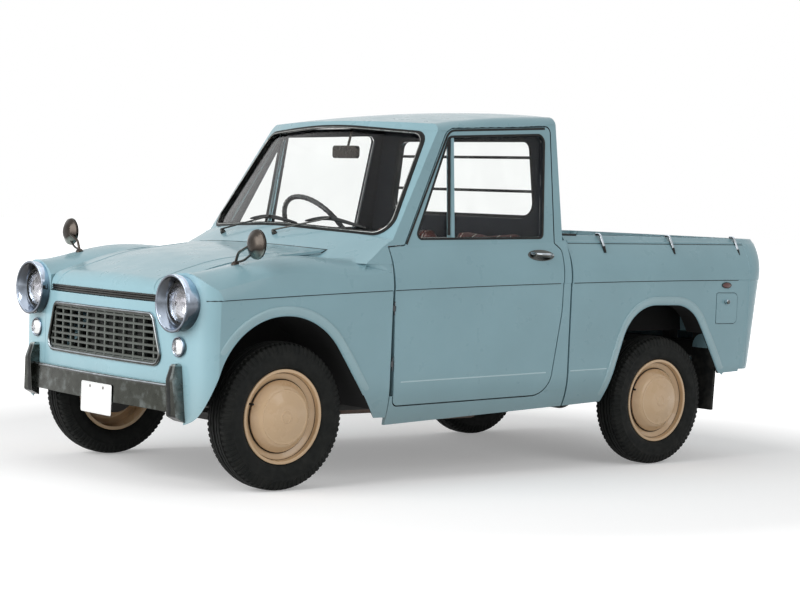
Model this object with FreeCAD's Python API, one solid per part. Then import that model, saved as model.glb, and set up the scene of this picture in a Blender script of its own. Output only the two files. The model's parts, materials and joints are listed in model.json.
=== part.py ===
"""Small bonneted pickup: separate pressings on a ladder frame, steered front wheels and opening panels.

Origin: on the ground at the middle of the vehicle's box. +Y runs to the tail, +X to the vehicle's left
side, +Z up. Millimetres.
"""
import FreeCAD
import Part
import math
import os

Vector = FreeCAD.Vector

# ---- Driving dimensions -------------------------------------------------------------------------
FRONT_AXLE_Y = -1075.0
WHEELBASE = 1940.0
REAR_AXLE_Y = FRONT_AXLE_Y + WHEELBASE
FRONT_OVERHANG = 401.0
NOSE_Y = FRONT_AXLE_Y - FRONT_OVERHANG
REAR_OVERHANG = 620.0
TAIL_Y = REAR_AXLE_Y + REAR_OVERHANG
HALF_WIDTH = 645.0

TYRE_RADIUS = 267.0
TYRE_WIDTH = 120.0
AXLE_Z = TYRE_RADIUS
WHEEL_X = 557.0
RIM_RADIUS = 171.0
KINGPIN_X = 485.0
STEER_ARM = (0.0, 130.0)
TIE_ROD_DROP = 34.0
STEER_COLUMN_X = -250.0

SHUT_GAP = 5.0
FIT_GAP = 0.3
SKIN = 10.0
FENDER_SKIN = 6.0
DOOR_WALL = 45.0
FRAME_WALL = 28.0
CAB_WALL = 25.0
BED_WALL_X = 545.0
BED_FLOOR_Z = 560.0
FLOOR_SHEET = 12.0

DOOR_FRONT_Y = -612.0
CAB_BACK_Y = 280.0
CAB_FOOT_BACK_Y = 297.0
BED_FRONT_Y = 306.0
BED_CORNER_Y = 1380.0
DOOR_HINGE = (641.0, -607.5)
DOOR_HINGE_HEIGHTS = (450.0, 655.0)
BULKHEAD_Y = -702.0

RAIL_X = 310.0
RAIL_WIDTH = 50.0
RAIL_HEIGHT = 80.0
RAIL_FRONT_Z = 345.0
RAIL_MIDDLE_Z = 285.0
RAIL_REAR_Z = 460.0
FLOOR_Z = RAIL_MIDDLE_Z + RAIL_HEIGHT / 2 + FIT_GAP

WINDSCREEN_RAKE = 0.65
WINDSCREEN_PLAN_RADIUS = 1500.0
WINDSCREEN_FOOT = (-685.0, 943.0)
COWL_RAKE = 1.875
COWL_PLAN_RADIUS = 1063.0
COWL_FOOT = (-806.0, 880.0)
CROWN_RADIUS = 5000.0

HEADLAMP_X = 494.0
HEADLAMP_Z = 665.0
HEADLAMP_RADIUS = 102.0
RING_BACK_RADIUS = 94.0
LAMP_TIP_Y = NOSE_Y - 19
INDICATOR_X = 491.0
INDICATOR_Y = NOSE_Y + 24
INDICATOR_Z = 513.0
INDICATOR_RADIUS = 36.0

TAIL_LEAN = 0.132
TAIL_LEAN_Z = 888.0
TAILGATE_HALF = 500.0
TAILGATE_FOOT_Z = 590.0
TAILGATE_WALL = 36.0


def crease_height(y):
    """The body side's main crease, which rises gently to the tail."""
    return 744.6 + 0.0337 * y - 9.0e-6 * y * y


def lower_crease_height(y):
    return 396.7 + 0.0262 * y


def sill_height(y):
    return 249.3 + 0.0465 * y


def belt_height(y):
    return 905.0 + 0.042 * y


def gutter_height(y):
    return 1364.4 + 0.09 * y - 9.54e-5 * y * y


def rail_low_height(y):
    return 906.0 + 0.0155 * y


def rail_top_height(y):
    return 942.0 + 0.0055 * y


def fender_inner_x(y):
    """Inner edge of a front fender, beside the bonnet."""
    return 384.0 + 0.0655 * (y + 1500.0)


# ---- Shape helpers ------------------------------------------------------------------------------
def on_side(x):
    return lambda a, b: Vector(x, a, b)


def on_top(z):
    return lambda a, b: Vector(a, b, z)


def on_front(y):
    return lambda a, b: Vector(a, y, b)


def line(start, end):
    return Part.LineSegment(start, end).toShape()


def arc(start, middle, end):
    return Part.Arc(start, middle, end).toShape()


def corner(before, point, after, radius):
    """Start, middle and end of the arc that rounds a corner."""
    back = (before - point).normalize()
    ahead = (after - point).normalize()
    half = back.getAngle(ahead) / 2
    reach = radius / math.tan(half)
    depth = radius / math.sin(half) - radius
    bisector = (back + ahead).normalize()
    return point + back * reach, point + bisector * depth, point + ahead * reach


def edges_through(points, place, closed):
    """Lines and tangent arcs through a table of (first, second, corner radius)."""
    spots = [place(a, b) for a, b, _ in points]
    count = len(points)
    turns = []
    for i, (_, _, radius) in enumerate(points):
        inner = closed or 0 < i < count - 1
        if radius and inner:
            turns.append(corner(spots[i - 1], spots[i], spots[(i + 1) % count], radius))
        else:
            turns.append((spots[i], None, spots[i]))
    edges = []
    for i, (start, middle, end) in enumerate(turns):
        if middle is not None:
            edges.append(arc(start, middle, end))
        following = turns[(i + 1) % count][0]
        if (closed or i < count - 1) and (following - end).Length > 0.001:
            edges.append(line(end, following))
    return edges


def outline(points, place):
    return Part.Wire(edges_through(points, place, True))


def offset_outline(points, place, distance):
    """The outline moved outwards by a distance, or inwards where it is negative."""
    return outline(points, place).makeOffset2D(distance)


def prism(wire, run):
    return Part.Face(wire).extrude(run)


def side_prism(points, x0, x1):
    return prism(outline(points, on_side(x0)), Vector(x1 - x0, 0, 0))


def top_prism(points, z0, z1):
    return prism(outline(points, on_top(z0)), Vector(0, 0, z1 - z0))


def front_prism(points, y0, y1):
    return prism(outline(points, on_front(y0)), Vector(0, y1 - y0, 0))


def grown_side_prism(points, grow, x0, x1):
    return prism(offset_outline(points, on_side(x0), grow), Vector(x1 - x0, 0, 0))


def grown_front_prism(points, grow, y0, y1):
    return prism(offset_outline(points, on_front(y0), grow), Vector(0, y1 - y0, 0))


def box(x0, x1, y0, y1, z0, z1):
    return Part.makeBox(x1 - x0, y1 - y0, z1 - z0, Vector(x0, y0, z0))


def rod(radius, start, end):
    start = Vector(*start)
    run = Vector(*end) - start
    return Part.makeCylinder(radius, run.Length, start, run)


def mirrored(shape):
    return shape.mirror(Vector(0, 0, 0), Vector(1, 0, 0))


def fuse(shapes):
    shapes = list(shapes)
    if len(shapes) == 1:
        return shapes[0]
    return shapes[0].multiFuse(shapes[1:]).removeSplitter()


def group(shapes):
    """Several solids in one node."""
    solids = [solid for shape in shapes for solid in shape.Solids]
    return Part.makeCompound(solids)


def pair(shape):
    return group([shape, mirrored(shape)])


def turned(points, origin, along, outward):
    """Solid of revolution from a table of (along the axis, radius, corner radius)."""
    origin = Vector(*origin)
    along = Vector(*along)
    outward = Vector(*outward)
    wire = outline(points, lambda a, r: origin + along * a + outward * r)
    return Part.Face(wire).revolve(origin, along, 360)


def swept(profile, path_edges, across):
    """Solid swept along a flat path that is square to the vector across."""
    pipe = Part.BRepOffsetAPI.MakePipeShell(Part.Wire(path_edges))
    pipe.setBiNormalMode(across)
    pipe.add(profile, False, False)
    pipe.build()
    pipe.makeSolid()
    return pipe.shape()


def bent_rod(points, place, across, radius):
    """Round bar along a flat path of (first, second, bend radius)."""
    edges = edges_through(points, place, False)
    start = place(points[0][0], points[0][1])
    ahead = place(points[1][0], points[1][1]) - start
    profile = Part.Wire(Part.makeCircle(radius, start, ahead))
    return swept(profile, edges, across)


def solid_loft(wires):
    return Part.makeLoft(wires, True, False)


# ---- Envelopes of the body ----------------------------------------------------------------------
def symmetric_section(steps, crown, place):
    """Closed section from the steps up its left side; a step of four numbers is an arc."""
    def edge(start, middle, end, side):
        first = place(side * start[0], start[1])
        last = place(side * end[0], end[1])
        if middle:
            return arc(first, place(side * middle[0], middle[1]), last)
        return line(first, last)

    lefts = [(a[-2:], b[:-2], b[-2:]) for a, b in zip(steps, steps[1:])]
    top = steps[-1][-2:]
    foot = steps[0][-2:]
    edges = [edge(start, middle, end, 1) for start, middle, end in lefts]
    edges.append(arc(place(top[0], top[1]), place(0, crown), place(-top[0], top[1])))
    edges += [edge(end, middle, start, -1) for start, middle, end in reversed(lefts)]
    edges.append(line(place(-foot[0], foot[1]), place(foot[0], foot[1])))
    return Part.Wire(edges)


def side_steps(y, half, belt, belt_inset, drop):
    """Left side of the body from the sill to the belt at one station."""
    sill = sill_height(y) - drop
    low = lower_crease_height(y)
    crease = crease_height(y)
    return [
        (half - 33, sill),
        (half - 12, 0.55 * sill_height(y) + 0.45 * low, half - 4, low),
        (half - 3, crease),
        (half, crease + 3),
        (half - 11, belt - 75, half - belt_inset, belt),
    ]


def cab_section(y, low_wall, high_wall, drop):
    belt = belt_height(y)
    gutter = gutter_height(y)
    gutter_x = HALF_WIDTH - 45 - 0.146 * (gutter - belt) - high_wall
    steps = side_steps(y, HALF_WIDTH - low_wall, belt, 45 - low_wall + high_wall, drop)
    steps.append((gutter_x, gutter))
    steps.append((gutter_x - 19, gutter + 23 - high_wall * 0.8, gutter_x - 50, gutter + 30 - high_wall))
    return symmetric_section(steps, gutter + 50 - high_wall, on_front(y))


def cab_envelope(low_wall, high_wall, drop):
    stations = (-880.0, -430.0, -100.0, 310.0)
    return solid_loft([cab_section(y, low_wall, high_wall, drop) for y in stations])


def behind_curve(foot, rake, plan_radius, z0, z1):
    """Everything behind a leaning curved sheet whose middle passes through foot."""
    reach = HALF_WIDTH + 60
    y0 = foot[0] + rake * (z0 - foot[1])
    bow = reach * reach / (2 * plan_radius)
    back = 1600.0
    edges = [
        arc(Vector(-reach, y0 + bow, z0), Vector(0, y0, z0), Vector(reach, y0 + bow, z0)),
        line(Vector(reach, y0 + bow, z0), Vector(reach, y0 + back, z0)),
        line(Vector(reach, y0 + back, z0), Vector(-reach, y0 + back, z0)),
        line(Vector(-reach, y0 + back, z0), Vector(-reach, y0 + bow, z0)),
    ]
    return prism(Part.Wire(edges), Vector(0, rake * (z1 - z0), z1 - z0))


def behind_windscreen(shift):
    """Everything behind the windscreen's outer face, moved back by shift along Y."""
    foot = (WINDSCREEN_FOOT[0] + shift, WINDSCREEN_FOOT[1])
    return behind_curve(foot, WINDSCREEN_RAKE, WINDSCREEN_PLAN_RADIUS, 780.0, 1480.0)


# Front fender stations: y, side inset, upper side height and inset, top height and x, inner height
FENDER_STATIONS = [
    (-1500.0, 3, 712, 9, 774, 497, 716),
    (-1380.0, 1, 722, 8, 778, 508, 740),
    (-1250.0, 0, 752, 8, 806, 530, 783),
    (-1000.0, 0, 785, 9, 839, 550, 833),
    (-600.0, 0, 808, 11, 866, 575, 869),
]


def fender_section(station, wall, drop):
    y, inset, upper, upper_inset, top, top_x, inner = station
    half = HALF_WIDTH - inset - wall
    sill = sill_height(max(y, -1200.0)) - drop
    low = lower_crease_height(y)
    crease = crease_height(y)
    inner_x = fender_inner_x(y) + wall
    place = on_front(y)
    foot = place(half - 33, sill)
    low_side = place(half - 4, low)
    shoulder = place(half - upper_inset, upper)
    peak = place(top_x, top - wall)
    turn = place(top_x + 0.62 * (half - upper_inset - top_x), top - wall - 0.26 * (top - wall - upper))
    edge = place(inner_x, inner - wall)
    flank = place(0.5 * (top_x + inner_x), 0.25 * inner + 0.75 * top - wall)
    inner_foot = place(inner_x, sill)
    return Part.Wire([
        line(inner_foot, foot),
        arc(foot, place(half - 12, 0.55 * (sill + drop) + 0.45 * low), low_side),
        line(low_side, place(half - 3, crease)),
        line(place(half - 3, crease), place(half, crease + 3)),
        arc(place(half, crease + 3), place(half - 0.3 * upper_inset, 0.5 * (crease + upper)), shoulder),
        arc(shoulder, turn, peak),
        arc(peak, flank, edge),
        line(edge, inner_foot),
    ])


def fender_envelope(wall, drop):
    return solid_loft([fender_section(station, wall, drop) for station in FENDER_STATIONS])


NOSE_HALF = 425.0
NOSE_LEAN = -6.0 / 485.0
NOSE_FOOT_Z = 250.0


def behind_nose(shift):
    """Everything behind the bowed front face and its rounded corners."""
    y0 = NOSE_Y + 6 + shift
    reach = HALF_WIDTH + 3
    z0 = NOSE_FOOT_Z - 60
    height = 820.0
    # Plan of the face, from the middle to the side: x, distance back from the middle
    plan = [(150.0, 2.3), (300.0, 9.0), (420.0, 17.6), (500.0, 25.0), (560.0, 31.9), (595.0, 41.9), (619.0, 59.4),
            (637.0, 83.9), (reach, 129.0)]
    right = [Vector(x, y0 + back, z0) for x, back in plan]
    left = [Vector(-v.x, v.y, v.z) for v in reversed(right)]
    face = Part.BSplineCurve()
    face.interpolate(left + [Vector(0, y0, z0)] + right)
    back_right = Vector(reach, y0 + 1100, z0)
    back_left = Vector(-reach, y0 + 1100, z0)
    edges = [
        face.toShape(),
        line(right[-1], back_right),
        line(back_right, back_left),
        line(back_left, left[0]),
    ]
    return prism(Part.Wire(edges), Vector(0, NOSE_LEAN * height, height))


def crowned_strip(path, half, thickness):
    """A sheet with the body's crown across it, swept along a path of (y, z, bend radius)."""
    y0, z0, _ = path[0]
    sag = half * half / (2 * CROWN_RADIUS)
    outer = [Vector(-half, y0 + sag, z0), Vector(0, y0, z0), Vector(half, y0 + sag, z0)]
    inner = [point + Vector(0, thickness, 0) for point in outer]
    profile = Part.Wire([
        arc(*outer),
        line(outer[2], inner[2]),
        arc(inner[2], inner[1], inner[0]),
        line(inner[0], outer[0]),
    ])
    return swept(profile, edges_through(path, on_side(0), False), Vector(1, 0, 0))


def bed_section(y, tilt, inset):
    """Section of the load bed's side, tilted back with the tail."""
    def place(a, b):
        return Vector(a, y + tilt * (b - TAIL_LEAN_Z), b)

    half = HALF_WIDTH - inset
    rail_low = rail_low_height(y)
    rail_top = rail_top_height(y)
    steps = side_steps(min(y, 1380.0), half, rail_low, 53, 0)
    steps.append((half - 78, rail_top))
    return symmetric_section(steps, rail_top + 0.5, place)


# ---- Outlines seen from the side: (y, z, corner radius) -----------------------------------------
FRONT_ARCH = [(-1462, 190, 0), (-1306, 630, 292), (-942, 630, 292), (-632, 190, 0)]
REAR_ARCH = [
    (REAR_AXLE_Y - 368, 220, 0),
    (REAR_AXLE_Y - 205, 668, 200),
    (REAR_AXLE_Y + 155, 668, 180),
    (REAR_AXLE_Y + 438, 220, 0),
]
DOOR_OUTLINE = [
    (-594, 294, 22),
    (196, 315, 100),
    (252, 640, 300),
    (258, 884, 18),
    (232, 908, 8),
    (246, 1370, 22),
    (-290, 1334, 60),
    (-535, 886, 10),
    (DOOR_FRONT_Y, 879, 4),
]
DOOR_WINDOW = [(-474, 917, 14), (168, 934, 16), (210, 1334, 26), (-285, 1300, 24)]
WINDOW_POST = [(-306, 880, 0), (-290, 880, 0), (-262, 1330, 0), (-276, 1330, 0)]
GUTTER_LINE = [(-345, 1324), (CAB_BACK_Y, 1383)]

# Outlines seen from the front: (x, z, corner radius)
WINDSCREEN_OPENING = [
    (-580, 918, 60),
    (0, 941, 3000),
    (580, 918, 60),
    (500, 1321, 62),
    (0, 1351, 3000),
    (-500, 1321, 62),
]
REAR_OPENING = [(-462, 1002, 62), (462, 1002, 62), (415, 1326, 52), (-415, 1326, 52)]
GRILLE_OPENING = [(-405, 434, 42), (405, 434, 42), (345, 624, 36), (-345, 624, 36)]

NOSE_PATH = [
    (NOSE_Y + 6, NOSE_FOOT_Z, 0),
    (NOSE_Y, 735, 75),
    (-1190, 826, 900),
    (-700, 888, 0),
]
COWL_UNDER_END = (-500, 913, 0)
COWL_UNDER_HALF = 424.0
COWL_EDGE_Z = 818.0
BONNET_EDGE_Z = 664.0
APRON_Z = 290.0
APRON_HALF = 520.0
BONNET_HINGE = (-706.0, 850.0)
BONNET_HINGE_X = 300.0


def gutter_cut(lift):
    """Everything above the roof's gutter line."""
    (y0, z0), (y1, z1) = GUTTER_LINE
    slope = (z1 - z0) / (y1 - y0)
    front = y0 - 300
    return side_prism([
        (front, z0 - slope * 300 + lift, 0),
        (y1 + 60, z1 + slope * 60 + lift, 0),
        (y1 + 60, z1 + 200, 0),
        (front, z1 + 200, 0),
    ], -700, 700)


# ---- Cab ----------------------------------------------------------------------------------------
def cab_block():
    """The cab's outer form: greenhouse, doors and sills in one, before it is split."""
    block = cab_envelope(0, 0, 0)
    upper = block.common(box(-700, 700, -740, CAB_BACK_Y, belt_height(CAB_BACK_Y) + 6, 1500))
    lower = block.common(box(-700, 700, -740, CAB_FOOT_BACK_Y, 100, belt_height(CAB_BACK_Y) + 6))
    return upper.fuse(lower).common(behind_windscreen(0).fuse(box(-700, 700, -613, 320, 100, 900)))


def cab_pieces():
    outer = cab_block()
    inner = cab_envelope(CAB_WALL, CAB_WALL, 60)
    back_limit = box(-700, 700, -900, CAB_BACK_Y - CAB_WALL, 100, 1500)
    hollow = inner.common(back_limit).common(behind_windscreen(CAB_WALL * 1.2).fuse(
        box(-700, 700, -900, 320, 100, 880)))
    shell = outer.cut(hollow)
    door_hole = grown_side_prism(DOOR_OUTLINE, SHUT_GAP, -700, 700)
    shell = shell.cut(door_hole)
    shell = shell.cut(front_prism(WINDSCREEN_OPENING, -900, -150))
    shell = shell.cut(front_prism(REAR_OPENING, 150, 400))
    above = gutter_cut(0)
    roof = shell.common(above)
    lower = shell.cut(gutter_cut(-FIT_GAP))
    front_zone = side_prism([(-760, 886, 0), (-520, 886, 0), (-120, 1400, 0), (-760, 1400, 0)], -700, 700)
    pillars = lower.common(front_zone)
    back_zone = side_prism([
        (150, 1460, 0), (150, 880, 0), (120, 330, 0), (CAB_FOOT_BACK_Y + 10, 330, 0),
        (CAB_FOOT_BACK_Y + 10, 1460, 0),
    ], -700, 700)
    back = lower.common(back_zone).cut(box(-345, 345, 200, 320, 300, 358))
    sill_zone = side_prism([
        (DOOR_FRONT_Y - 4, 150, 0), (CAB_FOOT_BACK_Y + 10, 150, 0),
        (CAB_FOOT_BACK_Y + 10, 330 - FIT_GAP, 0), (DOOR_FRONT_Y - 4, 330 - FIT_GAP, 0),
    ], -700, 700)
    sills = lower.common(sill_zone).cut(box(-560, 560, -800, 400, 100, 400))
    return roof, pillars, back, sills


def cowl_piece():
    """Sloping panel between bonnet and windscreen, with its side returns."""
    block = behind_curve(COWL_FOOT, COWL_RAKE, COWL_PLAN_RADIUS, COWL_EDGE_Z, 960.0)
    block = block.common(cab_envelope(0, 0, 0)).cut(behind_windscreen(CAB_WALL * 1.2))
    block = block.common(box(-700, 700, -900, DOOR_FRONT_Y - SHUT_GAP, COWL_EDGE_Z, 960).fuse(
        box(-700, 700, DOOR_FRONT_Y - SHUT_GAP - 1, -540, 884, 960)))
    deeper = (COWL_FOOT[0] + 26, COWL_FOOT[1])
    core = behind_curve(deeper, COWL_RAKE, COWL_PLAN_RADIUS, 780.0, 990.0)
    core = core.common(cab_envelope(SKIN, SKIN, 0))
    under = crowned_strip(NOSE_PATH[:-1] + [COWL_UNDER_END], COWL_UNDER_HALF, 80)
    door_hole = grown_side_prism(DOOR_OUTLINE, SHUT_GAP, -700, 700)
    fender_top = fender_envelope(0, 0).translated(Vector(0, 0, FIT_GAP))
    block = block.cut([core, under, door_hole, front_prism(WINDSCREEN_OPENING, -900, -150)])
    return block.cut([fender_top, mirrored(fender_top)])


def window_set():
    """Windscreen and rear window with their rubber seals."""
    screen_band = behind_windscreen(9).cut(behind_windscreen(15))
    screen = screen_band.common(grown_front_prism(WINDSCREEN_OPENING, -14 - FIT_GAP, -900, -150))
    seal_band = behind_windscreen(-5).cut(behind_windscreen(24))
    ring = grown_front_prism(WINDSCREEN_OPENING, -FIT_GAP, -900, -150).cut(
        grown_front_prism(WINDSCREEN_OPENING, -14, -900, -150))
    screen_seal = seal_band.common(ring)
    rear_ring = grown_front_prism(REAR_OPENING, -FIT_GAP, CAB_BACK_Y - CAB_WALL + 2, CAB_BACK_Y + 5).cut(
        grown_front_prism(REAR_OPENING, -14, CAB_BACK_Y - 60, CAB_BACK_Y + 20))
    rear = grown_front_prism(REAR_OPENING, -14 - FIT_GAP, CAB_BACK_Y - 14, CAB_BACK_Y - 9)
    return screen, rear, group([screen_seal, rear_ring])


def door_set():
    outer = cab_envelope(0, 0, 0)
    inner = cab_envelope(DOOR_WALL, FRAME_WALL, 60)
    zone = side_prism(DOOR_OUTLINE, 100, 700)
    door = outer.common(zone).cut(inner).cut(door_hinge_hollows())
    window = side_prism(DOOR_WINDOW, 100, 700)
    post = side_prism(WINDOW_POST, 100, 700)
    door = door.cut(window.cut(post))
    glass_band = cab_envelope(12, 12, 0).cut(cab_envelope(17, 17, 0))
    panes = grown_side_prism(DOOR_WINDOW, -FIT_GAP, 100, 700).cut(
        prism(offset_outline(WINDOW_POST, on_side(100), FIT_GAP), Vector(600, 0, 0)))
    glass = glass_band.common(panes)
    return door, glass


def door_hinge_leaves():
    """Hinge leaves and pins on the left door post, just inside the shut line."""
    x, y = DOOR_HINGE
    pieces = []
    for z in DOOR_HINGE_HEIGHTS:
        pieces.append(rod(2.2, (x, y, z - 25), (x, y, z + 25)))
        pieces.append(box(x - 13, x + 2.2, y - 8.9, y + 2.2, z - 10, z + 10))
        pieces.append(box(x - 41, x - 6.5, y - 22.5, y - 5.7, z - 10, z + 10))
    return pieces


def door_hinge_hollows():
    """What the left door's front edge leaves free for its hinges."""
    x, y = DOOR_HINGE
    hollows = []
    for z in DOOR_HINGE_HEIGHTS:
        hollows.append(rod(2.2 + FIT_GAP, (x, y, z - 26), (x, y, z + 26)))
        hollows.append(box(x - 15, x + 8, y - 9, y + 6.5, z - 10 - FIT_GAP, z + 10 + FIT_GAP))
    return hollows


def door_handle():
    """Lever handle on its two feet, in front of the recess."""
    x = HALF_WIDTH - 14
    lever = bent_rod([(88, 858, 0), (150, 868, 60), (216, 862, 0)], on_side(x + 22), Vector(1, 0, 0), 6)
    feet = [rod(7, (x - 8, y, 860), (x + 22, y, 860.5)) for y in (100, 206)]
    return fuse([lever] + feet)


# ---- Front body ---------------------------------------------------------------------------------
def front_fender():
    face = behind_nose(0)
    outer = fender_envelope(0, 0).common(face)
    inner = fender_envelope(FENDER_SKIN, 80).common(behind_nose(SKIN))
    rear_cut = box(300, 700, DOOR_FRONT_Y - SHUT_GAP, -500, 100, 1000)
    shell = outer.cut(inner).cut(rear_cut)
    shell = shell.cut(box(300, 470, NOSE_Y + 45, -500, 100, 600))
    shell = shell.cut(box(300, 560, BULKHEAD_Y - FIT_GAP, -500, 100, 1000))
    arch = side_prism(FRONT_ARCH, 340, 700)
    house = grown_side_prism(FRONT_ARCH, 9, 342, 700).common(outer.common(rear_part_off()).fuse(
        box(342, 480, NOSE_Y + 40, -640, 285, 700)))
    liner = house.cut(grown_side_prism(FRONT_ARCH, 1, 350, 700)).common(
        box(300, 700, NOSE_Y + 14, -640, 285, 700))
    shell = shell.cut(arch)
    fender = fuse([shell, liner])
    small_hole = turned([
        (40, 0, 0), (40, INDICATOR_RADIUS + FIT_GAP, 0), (-1.3, INDICATOR_RADIUS + FIT_GAP, 0),
        (-1.3, 28, 0), (-90, 28, 0), (-90, 0, 0),
    ], (INDICATOR_X, INDICATOR_Y, INDICATOR_Z), (0, -1, 0), (0, 0, 1))
    nose_zone = box(300, NOSE_HALF + FIT_GAP, NOSE_Y - 40, NOSE_Y + 60, 100, BONNET_EDGE_Z - 3 + FIT_GAP)
    apron = box(300, APRON_HALF, NOSE_Y - 40, NOSE_Y + 60, 100, APRON_Z)
    return fender.cut([nose_zone, apron]).cut(small_hole).cut(headlamp_hole(1))


def headlamp_hole(side):
    """Tapered seat for a headlamp ring."""
    return turned([
        (20, 0, 0), (20, HEADLAMP_RADIUS + FIT_GAP, 0), (-12, HEADLAMP_RADIUS + FIT_GAP, 0),
        (-75, RING_BACK_RADIUS + FIT_GAP, 0), (-140, RING_BACK_RADIUS + FIT_GAP, 0), (-140, 0, 0),
    ], (side * HEADLAMP_X, LAMP_TIP_Y, HEADLAMP_Z), (0, -1, 0), (0, 0, 1))


def rear_part_off():
    return box(300, 700, NOSE_Y - 40, DOOR_FRONT_Y - SHUT_GAP, 100, 1000)


def bonnet_plan(grow):
    y0 = -1500.0
    y1 = -600.0
    x0 = fender_inner_x(y0) + grow
    x1 = fender_inner_x(y1) + grow
    return top_prism([(-x0, y0, 0), (x0, y0, 0), (x1, y1, 0), (-x1, y1, 0)], 200, 1000)


def nose_and_bonnet():
    strip = crowned_strip(NOSE_PATH, 450, SKIN)
    nose = strip.common(box(-NOSE_HALF, NOSE_HALF, NOSE_Y - 30, -1400, APRON_Z, BONNET_EDGE_Z - 3))
    nose = nose.cut(front_prism(GRILLE_OPENING, NOSE_Y - 60, -1380))
    for side in (-1, 1):
        nose = nose.cut(headlamp_hole(side))
        nose = nose.cut(box(side * 310 - 18, side * 310 + 18, NOSE_Y - 20, -1380, 321, 369))
    rear_gap = SHUT_GAP * math.hypot(1, COWL_RAKE)
    edge_foot = (COWL_FOOT[0] - rear_gap, COWL_FOOT[1])
    rear_edge = behind_curve(edge_foot, COWL_RAKE, COWL_PLAN_RADIUS, 700.0, 1000.0)
    front_edge = box(-500, 500, NOSE_Y - 30, -600, BONNET_EDGE_Z + 2, 1000)
    bonnet = strip.common(bonnet_plan(-SHUT_GAP)).common(front_edge).cut(rear_edge)
    arms = [bonnet_arm(side * BONNET_HINGE_X) for side in (-1, 1)]
    return nose, fuse([bonnet] + arms)


def bonnet_arm(x):
    """Goose-neck hinge arm that reaches under the cowl's edge."""
    y, z = BONNET_HINGE
    path = [(y, z, 0), (y - 46, z - 84, 16), (y - 106, z - 50, 16), (y - 106, z + 16, 0)]
    arm = bent_rod(path, on_side(x), Vector(1, 0, 0), 4)
    boss = rod(9, (x - 7, y, z), (x + 7, y, z))
    pin = rod(4 + FIT_GAP, (x - 20, y, z), (x + 20, y, z))
    return fuse([arm, boss]).cut(pin)


def bonnet_hinge_pins():
    """Pins and their brackets on the bulkhead."""
    y, z = BONNET_HINGE
    pieces = []
    for side in (-1, 1):
        x = side * BONNET_HINGE_X
        pieces.append(rod(4, (x - 16, y, z), (x + 16, y, z)))
        for edge in (-1, 1):
            a, b = sorted((x + edge * 7.3, x + edge * 15))
            pieces.append(box(a, b, y - 9, -690, 800, z + 9))
    return pieces


def grille_set():
    """Egg-crate grille and its bright surround, bowed with the nose."""
    face = crowned_strip([(NOSE_Y + 6, NOSE_FOOT_Z, 0), (NOSE_Y, 735, 0)], 450, 16)
    front = face.translated(Vector(0, 2, 0))
    field = grown_front_prism(GRILLE_OPENING, -13, NOSE_Y - 60, -1380)
    bars = []
    columns = 13
    rows = 8
    for i in range(1, columns):
        x = -405 + i * 810.0 / columns
        bars.append(box(x - 1.5, x + 1.5, NOSE_Y - 40, -1380, 420, 640))
    for j in range(1, rows):
        z = 434 + j * 190.0 / rows
        bars.append(box(-420, 420, NOSE_Y - 40, -1380, z - 1.5, z + 1.5))
    rim = grown_front_prism(GRILLE_OPENING, -13 - FIT_GAP, NOSE_Y - 60, -1380).cut(
        grown_front_prism(GRILLE_OPENING, -17, NOSE_Y - 60, -1380))
    lattice = fuse([bar.common(field) for bar in bars] + [rim]).common(front)
    proud = face.translated(Vector(0, -7, 0)).fuse(face)
    surround = proud.common(grown_front_prism(GRILLE_OPENING, -FIT_GAP, NOSE_Y - 60, -1380).cut(
        grown_front_prism(GRILLE_OPENING, -13, NOSE_Y - 60, -1380)))
    return lattice, surround


def front_lamps():
    """Hooded headlamp rings and bowls, indicator rings, and their clear lenses."""
    centre = (HEADLAMP_X, LAMP_TIP_Y, HEADLAMP_Z)
    ring = turned([
        (0, HEADLAMP_RADIUS, 3), (-12, HEADLAMP_RADIUS, 0), (-75, RING_BACK_RADIUS, 0), (-90, 91, 0),
        (-130, 60, 30), (-130, 0, 0), (-126, 0, 0), (-126, 56, 28), (-66, 84, 0), (-18, 84, 4), (0, 94, 3),
    ], centre, (0, -1, 0), (0, 0, 1))
    lens = turned([
        (-20, 0, 0), (-26, 50, 80), (-44, 83.5, 6), (-50, 83.5, 0), (-34, 48, 80), (-26, 0, 0),
    ], centre, (0, -1, 0), (0, 0, 1))
    small_centre = (INDICATOR_X, INDICATOR_Y, INDICATOR_Z)
    small_ring = turned([
        (12, INDICATOR_RADIUS, 3), (-1, INDICATOR_RADIUS, 0), (-1, 27.7, 0), (-40, 27.7, 0),
        (-40, 24, 0), (6, 29, 0),
    ], small_centre, (0, -1, 0), (0, 0, 1))
    small_lens = turned([
        (22, 0, 0), (18, 20, 18), (6, 28.6, 0), (-2, 27.8, 0), (-2, 0, 0),
    ], small_centre, (0, -1, 0), (0, 0, 1))
    rings = group([ring, small_ring])
    lenses = group([lens, small_lens])
    return pair(rings), pair(lenses)


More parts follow.
